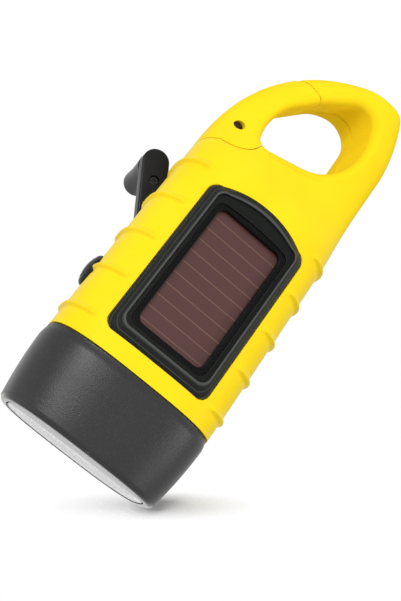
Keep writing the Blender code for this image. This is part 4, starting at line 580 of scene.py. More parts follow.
def make_gate(form):
    """The hook's gate, slotted at its root for the body's tongue and bored for its pin."""
    gate = carve(copy_of(form, "hook_gate"), [gate_space("space", 0.0)], "INTERSECT")
    front, back = TONGUE_FRONT_Y - GAP, TONGUE_BACK_Y + SPRING_SPACE
    radius = TONGUE_RADIUS + GAP
    low = (GATE_PIVOT[0] - TONGUE_NECK - GAP, front, GATE_PIVOT[1] - FAR)
    tools = [
        rod("slot", radius, front, back, GATE_PIVOT),
        block("slot_low", low, (FAR, back, GATE_PIVOT[1])),
        rod("bore", GATE_PIN_RADIUS + GAP, -FAR, FAR, GATE_PIVOT),
    ]
    return carve(gate, tools)


def make_gate_pin():
    """The gate's axle, sunk below the surface at both ends."""
    reach = float(surface_depth(*GATE_PIVOT, -1)) - GATE_PIN_RECESS
    return rod("gate_axle", GATE_PIN_RADIUS, -reach, reach, GATE_PIVOT, "Y", 40, PIN_EDGE)


def inner_core():
    """The space inside the skin of the grip, where the CAD's own bosses and walls are kept,
    drawn in slightly above the panel, where the body thins."""
    z = np.array((SPIGOT_Z - CORE_OVERLAP, FRAME_TOP_Z, CAVITY_TOP_Z + SKIN_DEPTH))
    inset = SKIN_DEPTH + np.array((0.0, 0.0, CORE_TAPER))
    wide, deep = BODY_HALF_WIDTH - inset, BODY_HALF_DEPTH - inset
    return skin("core", ovals(z, wide, deep, BODY_POWER, 144))


def inner_part(node, core):
    """The bosses, walls and posts of a CAD shell inside the core, from a merged copy of it."""
    part = copy_of(node, "inner_part")
    part.parent = None
    for key in list(part.keys()):
        del part[key]
    work = bmesh.new()
    work.from_mesh(part.data)
    bmesh.ops.remove_doubles(work, verts=work.verts, dist=MERGE_REACH)
    work.to_mesh(part.data)
    work.free()
    return carve(part, [core], "INTERSECT", keep=True)


def make_shells(form, nodes):
    """Front and rear shell: the fine outer skin, split behind the middle, over the CAD's own
    inside, with every hole and seat cut again in fine steps."""
    core = inner_core()
    whole = carve(form, [gate_space("gate_clearance", GAP)])
    skin_part = carve(copy_of(whole, "skin_part"), [core], keep=True)
    made = []
    for side, half in ((-1, "front"), (1, "rear")):
        shell = copy_of(skin_part, "yellow_" + half)
        start, end = (SPLIT_Y - GAP / 2, FAR) if side < 0 else (-FAR, SPLIT_Y + GAP / 2)
        carve(shell, [block("other_half", (-FAR, start, -FAR), (FAR, end, 2 * FAR))])
        if side < 0:
            neck_low = (GATE_PIVOT[0] - TONGUE_NECK, TONGUE_FRONT_Y, GATE_PIVOT[1] - TONGUE_NECK_DROP)
            neck_high = (GATE_PIVOT[0] + TONGUE_NECK, TONGUE_BACK_Y, GATE_PIVOT[1])
            tongue = rod("tongue", TONGUE_RADIUS, TONGUE_FRONT_Y, TONGUE_BACK_Y, GATE_PIVOT)
            carve(shell, [tongue, block("neck", neck_low, neck_high)], "UNION")
            carve(shell, [rod("bore", GATE_PIN_RADIUS + GAP, -FAR, FAR, GATE_PIVOT)])
        inside = inner_part(nodes[half + "_shell"], core)
        for part in (shell, inside):
            carve(part, shell_tools(side, part is shell))
        work = bmesh.new()
        for part in (shell, inside):
            work.from_mesh(part.data)
        work.to_mesh(shell.data)
        work.free()
        finish_shading(shell, CREASE)
        bpy.data.objects.remove(inside)
        made.append(shell)
    for spent in (core, skin_part, whole):
        bpy.data.objects.remove(spent)
    return made


def shell_tools(side, outer):
    """What is cut from a shell again in fine steps: seats, wells and holes, with the pocket that
    the knob enters when the arm is folded right over."""
    clear = GAP if outer else GAP + HAIR
    button_end = -BODY_HALF_WIDTH + WALL + GAP
    pocket_y = 2 * FOLD_Y - (ARM_Y + ARM_THICKNESS + GAP + KNOB_LENGTH) - KNOB_CLEARANCE
    pocket_place = (0.0, CRANK_Z + CRANK_LENGTH)
    tools = [
        rod("button_hole", BUTTON_RADIUS + clear, -FAR, button_end, (SPLIT_Y, BUTTON_Z), "X"),
        rod("knob_pocket", KNOB_RADIUS + KNOB_CLEARANCE, pocket_y, FAR, pocket_place),
    ]
    if side < 0:
        tools.append(slab("frame_seat", panel_outline(0.0, -GAP), -FAR, FRAME_UNDER_Y + GAP))
    else:
        tools.append(rod("bush_hole", BUSH_RADIUS + clear, 0.0, FAR, (0.0, CRANK_Z)))
        shank, wide = SCREW_SHANK + GAP, SCREW_HEAD + clear
        for x, z, seat, _ in SCREWS:
            well = ((shank, SPLIT_Y - SHORT_OVERSHOOT), (shank, seat), (wide, seat), (wide, FAR))
            tools.append(turned("screw_well", well, (x, z), sides=48))
    return tools


# Panel


def panel_outline(share, shrink=0.0, sag_share=None, top_share=None):
    """Outline of the panel in X and Z between the frame's outer edge (share 0) and its opening
    (share 1): straight sides, round corners, and a shallow parabola along the top, which may lie
    at a share of its own."""
    top_share = share if top_share is None else top_share
    sag = FRAME_TOP_SAG * (1.0 - top_share if sag_share is None else sag_share)
    half = FRAME_HALF_WIDTH - FRAME_SIDE_INSET * share - shrink
    bottom = FRAME_BOTTOM_Z + FRAME_BOTTOM_INSET * share + shrink
    top = FRAME_TOP_Z - FRAME_TOP_INSET * top_share - shrink
    radius = FRAME_CORNER_RADIUS + (FRAME_OPENING_RADIUS - FRAME_CORNER_RADIUS) * share
    turn = np.linspace(0.0, math.pi / 2, 14)
    reach, low, high = half - radius, bottom + radius, top - sag - radius

    def corner(x, z, start):
        return np.stack((x + radius * np.cos(start + turn), z + radius * np.sin(start + turn)), axis=1)

    spread = np.linspace(1.0, -1.0, 62)[1:-1]
    run = np.stack((reach * spread, top - sag * spread**2), axis=1)
    right = (corner(reach, low, -math.pi / 2), corner(reach, high, 0.0))
    left = (corner(-reach, high, math.pi / 2), corner(-reach, low, math.pi))
    return np.vstack((*right, run, *left))


def make_frame():
    """The panel's frame: its outline carried inwards through a stepped profile, from the body's
    own surface over the crest and two ledges down to the cell. Each step gives the share of the
    way inwards at the sides and at the top, where the first ledge is the widest, the level, and
    how far inside it counts, which sets the painted shade that darkens the frame towards the cell."""
    profile = (
        (0.44, 0.24, FRAME_CREST_Y, 0.0),
        (0.49, 0.28, FRAME_CREST_Y, 0.0),
        (0.52, 0.32, FRAME_STEP_Y, 0.5),
        (0.7, 0.78, FRAME_STEP_Y, 0.6),
        (0.73, 0.81, FRAME_LEDGE_Y, 1.0),
        (0.96, 0.97, FRAME_LEDGE_Y, 1.0),
        (1.0, 1.0, FRAME_LEDGE_Y + FRAME_PROUD, 1.0),
        (1.0, 1.0, FRAME_UNDER_Y, 1.0),
    )
    edge = panel_outline(0.0)
    depth = surface_depth(edge[:, 0], edge[:, 1], -1)
    rings = [lay(edge, "Y", FRAME_UNDER_Y), lay(edge, "Y", -depth - FRAME_PROUD)]
    rings += [lay(panel_outline(side, top_share=top), "Y", level) for side, top, level, _ in profile]
    frame_piece = skin("panel_frame", rings, wrap=True, crease=60.0)
    # Painted shade: how far inside each ring lies, which darkens the frame towards the cell in its paint.
    inside = np.repeat([0.0, 0.0] + [row[-1] for row in profile], len(edge))
    kept = frame_piece.data.attributes.new("inside", "FLOAT", "POINT")
    kept.data.foreach_set("value", inside.astype(np.float32))
    return soften(frame_piece, FRAME_BEVEL, 3, 14.0)


def make_cell():
    """The cell's plate, under the frame's opening."""
    outline = panel_outline(1.0, -CELL_LAP, 0.0)
    return soften(slab("panel_cell", outline, CELL_FACE_Y, CELL_BACK_Y), CELL_BEVEL, 2)


# Head


def head_sizes(z):
    """Half width and depth of the head: widest near the body, drawn in to the rim by a power of
    the way down, with a small shoulder at the top."""
    share = np.clip((HEAD_TOP_Z - z) / (HEAD_TOP_Z - RIM_Z), 0.0, 1.0)
    drop = share**HEAD_CURVE_POWER
    shoulder = HEAD_SHOULDER_DROP * smooth_step(-share, -HEAD_SHOULDER_SHARE, 0.0)
    wide = HEAD_HALF_WIDTH - (HEAD_HALF_WIDTH - RIM_HALF_WIDTH) * drop - shoulder
    deep = HEAD_HALF_DEPTH - (HEAD_HALF_DEPTH - RIM_HALF_DEPTH) * drop - shoulder
    return wide, deep


def make_head():
    """The head: superellipse rings down the outside, round the rim, and up the bore and ledge."""
    z = np.linspace(HEAD_TOP_Z, RIM_Z + RIM_EDGE_RADIUS, 70)
    wide, deep = head_sizes(z)
    turn = np.radians(np.linspace(0.0, 90.0, 10))[1:]
    inset = RIM_EDGE_RADIUS * (1.0 - np.cos(turn))
    edge_z = RIM_Z + RIM_EDGE_RADIUS * (1.0 - np.sin(turn))
    bore, bore_deep = RIM_HALF_WIDTH - RIM_LIP, RIM_HALF_DEPTH - RIM_LIP
    ledge = LENS_THICKNESS + GAP + SEAL_THICKNESS + GAP
    back = ledge + LEDGE_THICKNESS
    step = SEAL_WIDTH + GAP
    floor = SPIGOT_Z - LED_BOARD_THICKNESS - 2 * GAP
    inner, inner_deep = HEAD_HALF_WIDTH - RIM_LIP, HEAD_HALF_DEPTH - RIM_LIP
    inside = np.array(
        (
            (RIM_Z, bore, bore_deep),
            (ledge, bore, bore_deep),
            (ledge, bore - step, bore_deep - step),
            (back, bore - step, bore_deep - step),
            (back, bore, bore_deep),
            (floor, inner, inner_deep),
            (HEAD_TOP_Z, inner, inner_deep),
        )
    )
    z = np.concatenate((z, edge_z, inside[:, 0]))
    wide = np.concatenate((wide, RIM_HALF_WIDTH - inset, inside[:, 1]))
    deep = np.concatenate((deep, RIM_HALF_DEPTH - inset, inside[:, 2]))
    shell = skin("head_shell", ovals(z, wide, deep, HEAD_POWER), wrap=True, crease=40.0)
    return soften(shell, SOFT_BEVEL, 2, 50.0)


def lens_half_sizes():
    """Half width and depth of the lens: the bore less the gap."""
    return RIM_HALF_WIDTH - RIM_LIP - GAP, RIM_HALF_DEPTH - RIM_LIP - GAP


def make_lens():
    """The clear window: an oval plate with softly rounded edges, whose front rises to a shallow
    crown by the square of the way out from the middle, nearly flush with the rim."""
    wide, deep = lens_half_sizes()
    share = np.linspace(0.03, 1.0 - WINDOW_EDGE / deep, 24)
    crown = WINDOW_CROWN_Z + (WINDOW_EDGE_Z - WINDOW_CROWN_Z) * share**2
    turn = np.radians(np.linspace(0.0, 90.0, 6))
    inset = WINDOW_EDGE * (1.0 - np.sin(turn))
    drop = WINDOW_EDGE * (1.0 - np.cos(turn))
    z = np.concatenate((crown, crown[-1] + drop[1:], LENS_THICKNESS - drop[::-1]))
    wides = np.concatenate((wide * share, wide - inset[1:], wide - inset[::-1]))
    deeps = np.concatenate((deep * share, deep - inset[1:], deep - inset[::-1]))
    return skin("window", ovals(z, wides, deeps, HEAD_POWER, 240), crease=50.0)


def make_seal():
    """The soft ring behind the window: a flat band of the lens outline with rounded edges."""
    wide, deep = lens_half_sizes()
    low, high = LENS_THICKNESS + GAP, LENS_THICKNESS + GAP + SEAL_THICKNESS
    z = np.array((low, high, high, low))
    inset = np.array((0.0, 0.0, SEAL_WIDTH, SEAL_WIDTH))
    ring = ovals(z, wide - inset, deep - inset, HEAD_POWER, 200)
    return soften(skin("seal_ring", ring, wrap=True), SOFT_BEVEL)


def make_reflector():
    """The silvered dish: oval rings that close in by one minus the root of the way still to go,
    from the mouth to a flat floor, with a wall behind and a hole for each lamp."""
    wide, deep = lens_half_sizes()
    front = LENS_THICKNESS + 3 * GAP + SEAL_THICKNESS + LEDGE_THICKNESS
    share = np.linspace(0.0, 1.0, 40)
    bend = 1.0 - np.sqrt(1.0 - share)
    mouth, mouth_deep = wide - REFLECTOR_LIP, deep - REFLECTOR_LIP
    z = front + REFLECTOR_DEPTH * share
    in_wide = mouth + (REFLECTOR_FLOOR[0] - mouth) * bend
    in_deep = mouth_deep + (REFLECTOR_FLOOR[1] - mouth_deep) * bend
    wall = REFLECTOR_WALL
    z = np.concatenate((z[::-1], (front, front + wall), z + wall))
    wides = np.concatenate((in_wide[::-1], (wide, wide), in_wide + wall))
    deeps = np.concatenate((in_deep[::-1], (deep, deep), in_deep + wall))
    dish = skin("lamp_dish", ovals(z, wides, deeps, HEAD_POWER, 200), crease=40.0)
    radius, behind = LED_RADIUS + LED_FLANGE + GAP, front + REFLECTOR_DEPTH + OVERSHOOT
    holes = [
        rod("lamp_hole", radius, front, behind, (side * LED_PITCH, 0.0), "Z", 48)
        for side in (-1, 0, 1)
    ]
    return carve(dish, holes, crease=40.0)


def make_lamps():
    """Three lamps: a clear domed body turned about its axis, round a small cup and its die."""
    base = SPIGOT_Z - 2 * GAP - LED_BOARD_THICKNESS
    tip = base - LED_HEIGHT
    turn = np.radians(np.linspace(0.0, 86.0, 16))
    dome = np.stack((LED_RADIUS * np.cos(turn), tip + LED_RADIUS * (1.0 - np.sin(turn))), axis=1)
    flange, flange_end = LED_RADIUS + LED_FLANGE, base - LED_FLANGE_HEIGHT
    foot = (
        (flange - LED_EDGE, base),
        (flange, base - LED_EDGE),
        (flange, flange_end + LED_EDGE),
        (flange - LED_EDGE, flange_end),
        (LED_RADIUS, flange_end),
    )
    body = np.vstack((foot, dome))
    middle = tip + LED_RADIUS * 1.15
    cup = (
        (0.25, base - 0.4),
        (0.25, middle + 1.5),
        (0.75, middle + 1.1),
        (1.15, middle),
        (1.0, middle),
        (0.6, middle + 0.75),
        (0.02, middle + 0.75),
    )
    die = (
        (0.02, middle + 0.7),
        (0.6, middle + 0.7),
        (0.95, middle + 0.12),
        (0.5, middle - 0.1),
        (0.02, middle - 0.16),
    )
    made = []
    for index, side in enumerate((-1, 0, 1)):
        parts = (("lamp", body, 48), ("lamp_cup", cup, 32), ("lamp_die", die, 32))
        centre = (side * LED_PITCH, 0.0)
        made.append([turned(f"{name}_{index + 1}", line, centre, "Z", sides) for name, line, sides in parts])
    return made


# Crank


def swing(piece):
    """Turns a piece's points about the crank's axis from pointing up to the rest turn."""
    count = len(piece.data.vertices)
    points = np.empty(count * 3)
    piece.data.vertices.foreach_get("co", points)
    points = points.reshape(-1, 3)
    x, rise = points[:, 0].copy(), points[:, 2] - CRANK_Z * MM
    cosine, sine = math.cos(CRANK_TURN), math.sin(CRANK_TURN)
    points[:, 0] = x * cosine + rise * sine
    points[:, 2] = CRANK_Z * MM - x * sine + rise * cosine
    piece.data.vertices.foreach_set("co", points.ravel())
    piece.data.update()
    return piece


def arm_outline(inset):
    """Arm in X and Z: narrow root between the ears, wide blade, half circle at the knob."""
    root, end = CRANK_Z + ARM_NECK_LENGTH, CRANK_Z + CRANK_LENGTH
    half, neck = ARM_HALF_WIDTH - inset, ARM_NECK - inset
    turn = np.linspace(0.0, math.pi, 48)
    tip = np.stack((half * np.cos(turn), end + half * np.sin(turn)), axis=1)
    right = np.array(((neck, CRANK_Z), (neck, root + inset), (half, root + inset)))
    left = right[::-1] * np.array((-1.0, 1.0))
    return np.vstack((right, tip, left))


def make_arm():
    """The folding arm: its outline carried through its thickness with rounded edges, a knuckle
    about the fold pin, and wells for the screw and the knob's pin."""
    end_z, back = CRANK_Z + CRANK_LENGTH, ARM_Y + ARM_THICKNESS
    turn = np.radians(np.linspace(0.0, 90.0, 7))
    inset = ARM_EDGE * (1.0 - np.sin(turn))
    low = ARM_Y + ARM_EDGE * (1.0 - np.cos(turn))
    levels = np.concatenate((low, back - (low - ARM_Y)[::-1]))
    insets = np.concatenate((inset, inset[::-1]))
    arm = skin("folding_arm", [lay(arm_outline(i), "Y", y) for i, y in zip(insets, levels)])
    carve(arm, [rod("knuckle", ARM_THICKNESS / 2, -ARM_NECK, ARM_NECK, (FOLD_Y, CRANK_Z), "X")], "UNION")
    wide, narrow = ARM_SCREW_RADIUS, ARM_SCREW_RADIUS / 2
    recess = ARM_Y + ARM_RECESS
    head_end, screw_end = recess + ARM_RECESS, back - ARM_RECESS
    screw = np.array(((wide, recess), (wide, head_end), (narrow, head_end), (narrow, screw_end)))
    well = screw + GAP
    well[0, 1] = ARM_Y - OVERSHOOT
    centre = (0.0, end_z - ARM_SCREW_OFFSET)
    tools = [
        rod("fold_bore", FOLD_PIN_RADIUS + GAP, -FAR, FAR, (FOLD_Y, CRANK_Z), "X"),
        rod("knob_bore", KNOB_PIN_RADIUS + GAP, recess, FAR, (0.0, end_z)),
        turned("arm_well", well, centre, sides=48),
    ]
    carve(arm, tools)
    head = cross_cut(turned("blade_screw", screw, centre, sides=48), centre, recess, -1, wide)
    pin_half = ARM_NECK + GAP + EAR_THICKNESS
    pin = rod("hinge_pin", FOLD_PIN_RADIUS, -pin_half, pin_half, (FOLD_Y, CRANK_Z), "X", 40, PIN_EDGE)
    return swing(arm), swing(head), swing(pin)


def cross_cut(screw, centre, face, side, radius):
    """Cuts a cross recess into a screw's head, from its face inwards. The side is +1 where the
    face looks along +Y, and the recess is sized by the head's radius."""
    length, thick, deep = radius * CROSS_LENGTH, radius * CROSS_WIDTH, radius * CROSS_DEPTH
    low, high = sorted((face + side * SHORT_OVERSHOOT, face - side * deep))
    tools = []
    for wide, tall in ((length, thick), (thick, length)):
        corner = (centre[0] - wide, low, centre[1] - tall)
        tools.append(block("cross", corner, (centre[0] + wide, high, centre[1] + tall)))
    return carve(screw, tools)


def shaft_outline(grow):
    """The shaft's circle with one flat, whose inner points are left out."""
    flat = SHAFT_RADIUS - SHAFT_FLAT + grow
    outline = circle(96) * (SHAFT_RADIUS + grow)
    outline[:, 0] = np.minimum(outline[:, 0], flat)
    turn = outline[:, 0] < flat
    keep = turn | np.roll(turn, 1) | np.roll(turn, -1)
    return outline[keep] + np.array((0.0, CRANK_Z))


def make_hub():
    """The disc on the shaft with two round ears for the fold pin."""
    edge = np.radians(np.linspace(0.0, 90.0, 6))
    middle = np.array((HUB_RADIUS - ARM_EDGE, HUB_Y + HUB_DISC - ARM_EDGE))
    rim = middle + ARM_EDGE * np.stack((np.cos(edge), np.sin(edge)), axis=1)
    profile = np.vstack(((HUB_RADIUS - PIN_EDGE, HUB_Y), (HUB_RADIUS, HUB_Y + PIN_EDGE), rim))
    hub = turned("hub_disc", profile, (0.0, CRANK_Z), "Y", 96)
    tools = []
    inner, outer = ARM_NECK + GAP, ARM_NECK + GAP + EAR_THICKNESS
    for start, end in ((-outer, -inner), (inner, outer)):
        tools.append(rod("ear", ARM_THICKNESS / 2, start, end, (FOLD_Y, CRANK_Z), "X"))
        low = (start, HUB_Y + HUB_DISC / 2, CRANK_Z - ARM_THICKNESS / 2)
        tools.append(block("ear_foot", low, (end, FOLD_Y, CRANK_Z + ARM_THICKNESS / 2)))
    carve(hub, tools, "UNION")
    bores = [
        rod("pin_bore", FOLD_PIN_RADIUS + GAP, -FAR, FAR, (FOLD_Y, CRANK_Z), "X", 48),
        slab("hub_bore", shaft_outline(GAP), -FAR, FAR),
    ]
    return swing(carve(hub, bores))


def make_knob():
    """The knob turned about its pin: a soft waist, half a sine wave deep, between rounded ends."""
    start = ARM_Y + ARM_THICKNESS + GAP
    end = start + KNOB_LENGTH
    bore, bore_end = KNOB_PIN_RADIUS + GAP, end - KNOB_RADIUS / 2
    dome = KNOB_RADIUS / 4
    y = np.linspace(start + ARM_EDGE, end - dome, 90)
    share = (y - y[0]) / (y[-1] - y[0])
    radius = KNOB_RADIUS * (1.0 - (1.0 - KNOB_WAIST) * np.sin(math.pi * share))
    edge = np.radians(np.linspace(0.0, 90.0, 8))
    rise, fall = 1.0 - np.sin(edge), 1.0 - np.cos(edge)
    foot = np.stack((KNOB_RADIUS - ARM_EDGE * rise, start + ARM_EDGE * fall), axis=1)
    side = np.stack((radius, y), axis=1)
    cap = np.stack((KNOB_RADIUS - dome * fall, end - dome * rise), axis=1)
    pin_hole = ((bore, bore_end), (bore, start))
    profile = np.vstack((pin_hole, foot[:-1], side, cap[1:], ((POLE, end),)))
    return swing(turned("grip_knob", profile, (0.0, CRANK_Z + CRANK_LENGTH), "Y", 96))


def make_button():
    """The push button turned about its own axis: stem, flange, and a domed cap into which two
    fine rings are sunk as bell curves."""
    low, high = BUTTON_FLANGE_ENDS
    turn = np.radians(np.linspace(0.0, 88.0, 40))
    radius = BUTTON_RADIUS * np.cos(turn)
    rings = sum(np.exp(-(((radius - ring) / BUTTON_RING_SPREAD) ** 2)) for ring in BUTTON_RINGS)
    face = -BODY_HALF_WIDTH - BUTTON_RISE * np.sin(turn) + BUTTON_RING_HEIGHT * rings
    cap = np.stack((radius, face), axis=1)
    stem = np.array(
        (
            (BUTTON_STEM_RADIUS, BUTTON_STEM_END),
            (BUTTON_STEM_RADIUS, high),
            (BUTTON_RADIUS + BUTTON_FLANGE, high),
            (BUTTON_RADIUS + BUTTON_FLANGE, low),
            (BUTTON_RADIUS, low),
        )
    )
    return turned("push_button", np.vstack((stem, cap)), (SPLIT_Y, BUTTON_Z), "X", 96)


def make_screw(index, x, z, seat, depth):
    """A housing screw: shank and a crowned head with a cross recess."""
    under, tip = seat + GAP, seat - depth
    top = under + SCREW_HEAD_THICKNESS
    edge = np.linspace(0.0, 1.0, 8)
    level = top - SCREW_HEAD_THICKNESS / 3 * (1.0 - edge) ** 2
    crown = np.stack((SCREW_HEAD * (1.0 - edge / 3), level), axis=1)
    shank = ((POLE, tip), (SCREW_SHANK, tip + SCREW_TIP), (SCREW_SHANK, under), (SCREW_HEAD, under))
    profile = np.vstack((shank, crown))
    screw = turned(f"shell_screw_{index}", profile, (x, z), sides=48)
    return cross_cut(screw, (x, z), top, 1, SCREW_HEAD)


# Materials


def new_group(name, inputs, outputs):
    """An empty shader node group with number inputs and number outputs."""
    group = bpy.data.node_groups.new(name, "ShaderNodeTree")
    for label, value in inputs:
        made = group.interface.new_socket(label, in_out="INPUT", socket_type="NodeSocketFloat")
        made.default_value = value
    for label in outputs:
        group.interface.new_socket(label, in_out="OUTPUT", socket_type="NodeSocketFloat")
    return group, group.nodes.new("NodeGroupInput"), group.nodes.new("NodeGroupOutput")


def node(tree, kind, links=(), **values):
    """A node with its inputs set by name or linked from other sockets."""
    made = tree.nodes.new(kind)
    for key, value in values.items():
        setattr(made, key, value)
    for key, value in dict(links).items():
        if isinstance(value, bpy.types.NodeSocket):
            tree.links.new(value, made.inputs[key])
        else:
            made.inputs[key].default_value = value
    return made


def feed(tree, target, **sources):
    """Links sources to a node's inputs, whose names have _ for a blank."""
    for key, source in sources.items():
        tree.links.new(source, target.inputs[key.replace("_", " ")])


def source_of(target, key):
    """The socket that feeds a node's input."""
    return target.inputs[key].links[0].from_socket


def math_node(tree, operation, first, second=0.0):
    """One arithmetic step and its result."""
    return node(tree, "ShaderNodeMath", {0: first, 1: second}, operation=operation).outputs[0]


def span(tree, value, low, high, out_low=0.0, out_high=1.0):
    """A value moved from one range to another, clamped."""
    ends = {"From Min": low, "From Max": high, "To Min": out_low, "To Max": out_high}
    return node(tree, "ShaderNodeMapRange", {"Value": value, **ends}).outputs[0]


def object_place(tree):
    """Object coordinates, in metres."""
    return node(tree, "ShaderNodeTexCoord").outputs["Object"]


def object_axis(tree, axis):
    """One of the object coordinates."""
    return node(tree, "ShaderNodeSeparateXYZ", {"Vector": object_place(tree)}).outputs[axis]


def noise(tree, place, scale, detail, roughness=0.5):
    """Noise at a place, as a value about a half."""
    links = {"Vector": place, "Scale": scale, "Detail": detail, "Roughness": roughness}
    return node(tree, "ShaderNodeTexNoise", links).outputs[0]


def grain_group():
    """Moulding grain on object coordinates: fine height, broad mottle, and soft specks."""
    inputs = (("Scale", 2500.0), ("Detail", 2.0))
    group, start, end = new_group("moulding_grain", inputs, ("Height", "Mottle", "Specks"))
    place = object_place(group)
    scale = start.outputs["Scale"]
    fine = noise(group, place, scale, start.outputs["Detail"], 0.6)
    cells = node(group, "ShaderNodeTexVoronoi", {"Vector": place, "Scale": scale})
    height = math_node(group, "MULTIPLY_ADD", fine, 0.6)
    group.links.new(cells.outputs["Distance"], height.node.inputs[2])
    feed(
        group,
        end,
        Height=height,
        Mottle=noise(group, place, 60.0, 3.0, 0.55),
        Specks=span(group, fine, 0.58, 0.72),
    )
    return group


def wear_and_highlight_group():
    """Edges lighter by wearing and by a painted edge highlight: where the surface turns sharply outwards,
    broken up by noise.
    """
    group, start, end = new_group("edge_wear_and_highlight", (("Low", 0.52), ("High", 0.6)), ("Mask",))
    turn = node(group, "ShaderNodeNewGeometry").outputs["Pointiness"]
    edge = span(group, turn, start.outputs["Low"], start.outputs["High"])
    broken = span(group, noise(group, object_place(group), 900.0, 3.0), 0.35, 0.65)
    feed(group, end, Mask=math_node(group, "MULTIPLY", edge, broken))
    return group


def brushed_group():
    """Fine parallel drawing marks: noise stretched along one axis of the object."""
    group, start, end = new_group("drawn_marks", (("Scale", 900.0),), ("Height", "Tone"))
    place = object_place(group)
    stretch = node(group, "ShaderNodeMapping", {"Vector": place, "Scale": (1.0, 0.08, 1.0)}).outputs[0]
    marks = noise(group, stretch, start.outputs["Scale"], 4.0)
    feed(group, end, Height=marks, Tone=noise(group, place, 90.0, 2.0))
    return group


def use(tree, group, **values):
    """Places a node group with its own values."""
    made = tree.nodes.new("ShaderNodeGroup")
    made.node_tree = group
    for key, value in values.items():
        made.inputs[key].default_value = value
    return made


def paint(name, colour, roughness, metallic=0.0, **sockets):
    """A new material with its Principled shader's plain numbers set."""
    made = bpy.data.materials.new(name)
    made.use_nodes = True
    shader = made.node_tree.nodes["Principled BSDF"]
    shader.inputs["Base Color"].default_value = (*colour, 1.0)
    shader.inputs["Roughness"].default_value = roughness
    shader.inputs["Metallic"].default_value = metallic
    for key, value in sockets.items():
        shader.inputs[key.replace("_", " ")].default_value = value
    made.diffuse_color = (*colour, 1.0)
    return made, made.node_tree, shader


def colour_mix(tree, share, first, second):
    """Blend of two colours by a share."""
    made = node(tree, "ShaderNodeMix", data_type="RGBA")
    for index, value in ((0, share), (6, first), (7, second)):
        if isinstance(value, bpy.types.NodeSocket):
            tree.links.new(value, made.inputs[index])
        else:
            made.inputs[index].default_value = value if index == 0 else (*value, 1.0)
    return made.outputs[2]


def drift(tree, grain, low, high):
    """A roughness that drifts between two values with the grain's broad mottle."""
    return span(tree, grain.outputs["Mottle"], 0.3, 0.7, low, high)


def bump(tree, shader, height, strength, distance):
    """Small height changes on the shader's normal."""
    links = {"Height": height, "Strength": strength, "Distance": distance * MM}
    feed(tree, shader, Normal=node(tree, "ShaderNodeBump", links).outputs[0])


def yellow_paint(groups):
    """Glossy moulded yellow: a faint mottle in tone and gloss, and a very fine ripple. The hook
    is duller than the body, so its gloss falls off above the shoulder by object Z."""
    made, tree, shader = paint(
        "yellow_moulding",
        (0.93, 0.7, 0.01),
        0.36,
        Specular_IOR_Level=0.06,
        Specular_Tint=(1.0, 0.82, 0.25, 1.0),
    )
    grain = use(tree, groups["grain"], Scale=900.0, Detail=2.0)
    share = span(tree, grain.outputs["Mottle"], 0.35, 0.65)
    tone = colour_mix(tree, share, (0.92, 0.667, 0.0125), (0.94, 0.7, 0.0155))
    start, end = (z * MM for z in HOOK_DULL_Z)
    duller = span(tree, object_axis(tree, "Z"), start, end, 0.0, HOOK_DULLNESS)
    rough = math_node(tree, "ADD", drift(tree, grain, 0.34, 0.42), duller)
    feed(tree, shader, Base_Color=tone, Roughness=rough)
    bump(tree, shader, grain.outputs["Height"], 0.05, 0.03)
    return made


def black_paint(groups, name, colour, grain_scale, grain_depth, roughness, wear_and_highlight_amount, gloss):
    """Textured black moulding: spark-eroded grain, lighter along its edges by wearing and by a painted edge
    highlight.
    """
    made, tree, shader = paint(name, colour, roughness, Specular_IOR_Level=gloss)
    grain = use(tree, groups["grain"], Scale=grain_scale, Detail=3.0)
    wear = use(tree, groups["wear"], Low=0.53, High=0.62)
    lighter = tuple(c * 2.4 + 0.02 for c in colour)
    specks = span(tree, grain.outputs["Specks"], 0.0, 1.0, 0.0, 0.7)
    tone = colour_mix(tree, specks, colour, lighter)
    # Edges lighter grey: partly wearing, partly a painted edge highlight.
    edge = math_node(tree, "MULTIPLY", wear.outputs["Mask"], wear_and_highlight_amount)
    tone = colour_mix(tree, edge, tone, (0.16, 0.16, 0.16))
    rough = drift(tree, grain, roughness - 0.05, roughness + 0.06)
    feed(tree, shader, Base_Color=tone, Roughness=rough)
    bump(tree, shader, grain.outputs["Height"], 0.5, grain_depth)
    return made


def head_paint(groups):
    """The head's textured black, polished smooth on the lip round the window."""
    made = black_paint(groups, "head_moulding", (0.02, 0.02, 0.021), 3600.0, 0.06, 0.35, 0.3, 0.28)
    tree = made.node_tree
    shader = tree.nodes["Principled BSDF"]
    start, end = (z * MM for z in LIP_POLISH_Z)
    lip = span(tree, object_axis(tree, "Z"), start, end, 1.0, 0.0)
    polish = math_node(tree, "MULTIPLY", lip, LIP_POLISH)
    rough = math_node(tree, "SUBTRACT", source_of(shader, "Roughness"), polish)
    feed(tree, shader, Roughness=rough)
    ripple = source_of(shader, "Normal").node
    smooth = math_node(tree, "SUBTRACT", 1.0, lip)
    feed(tree, ripple, Height=math_node(tree, "MULTIPLY", source_of(ripple, "Height"), smooth))
    return made


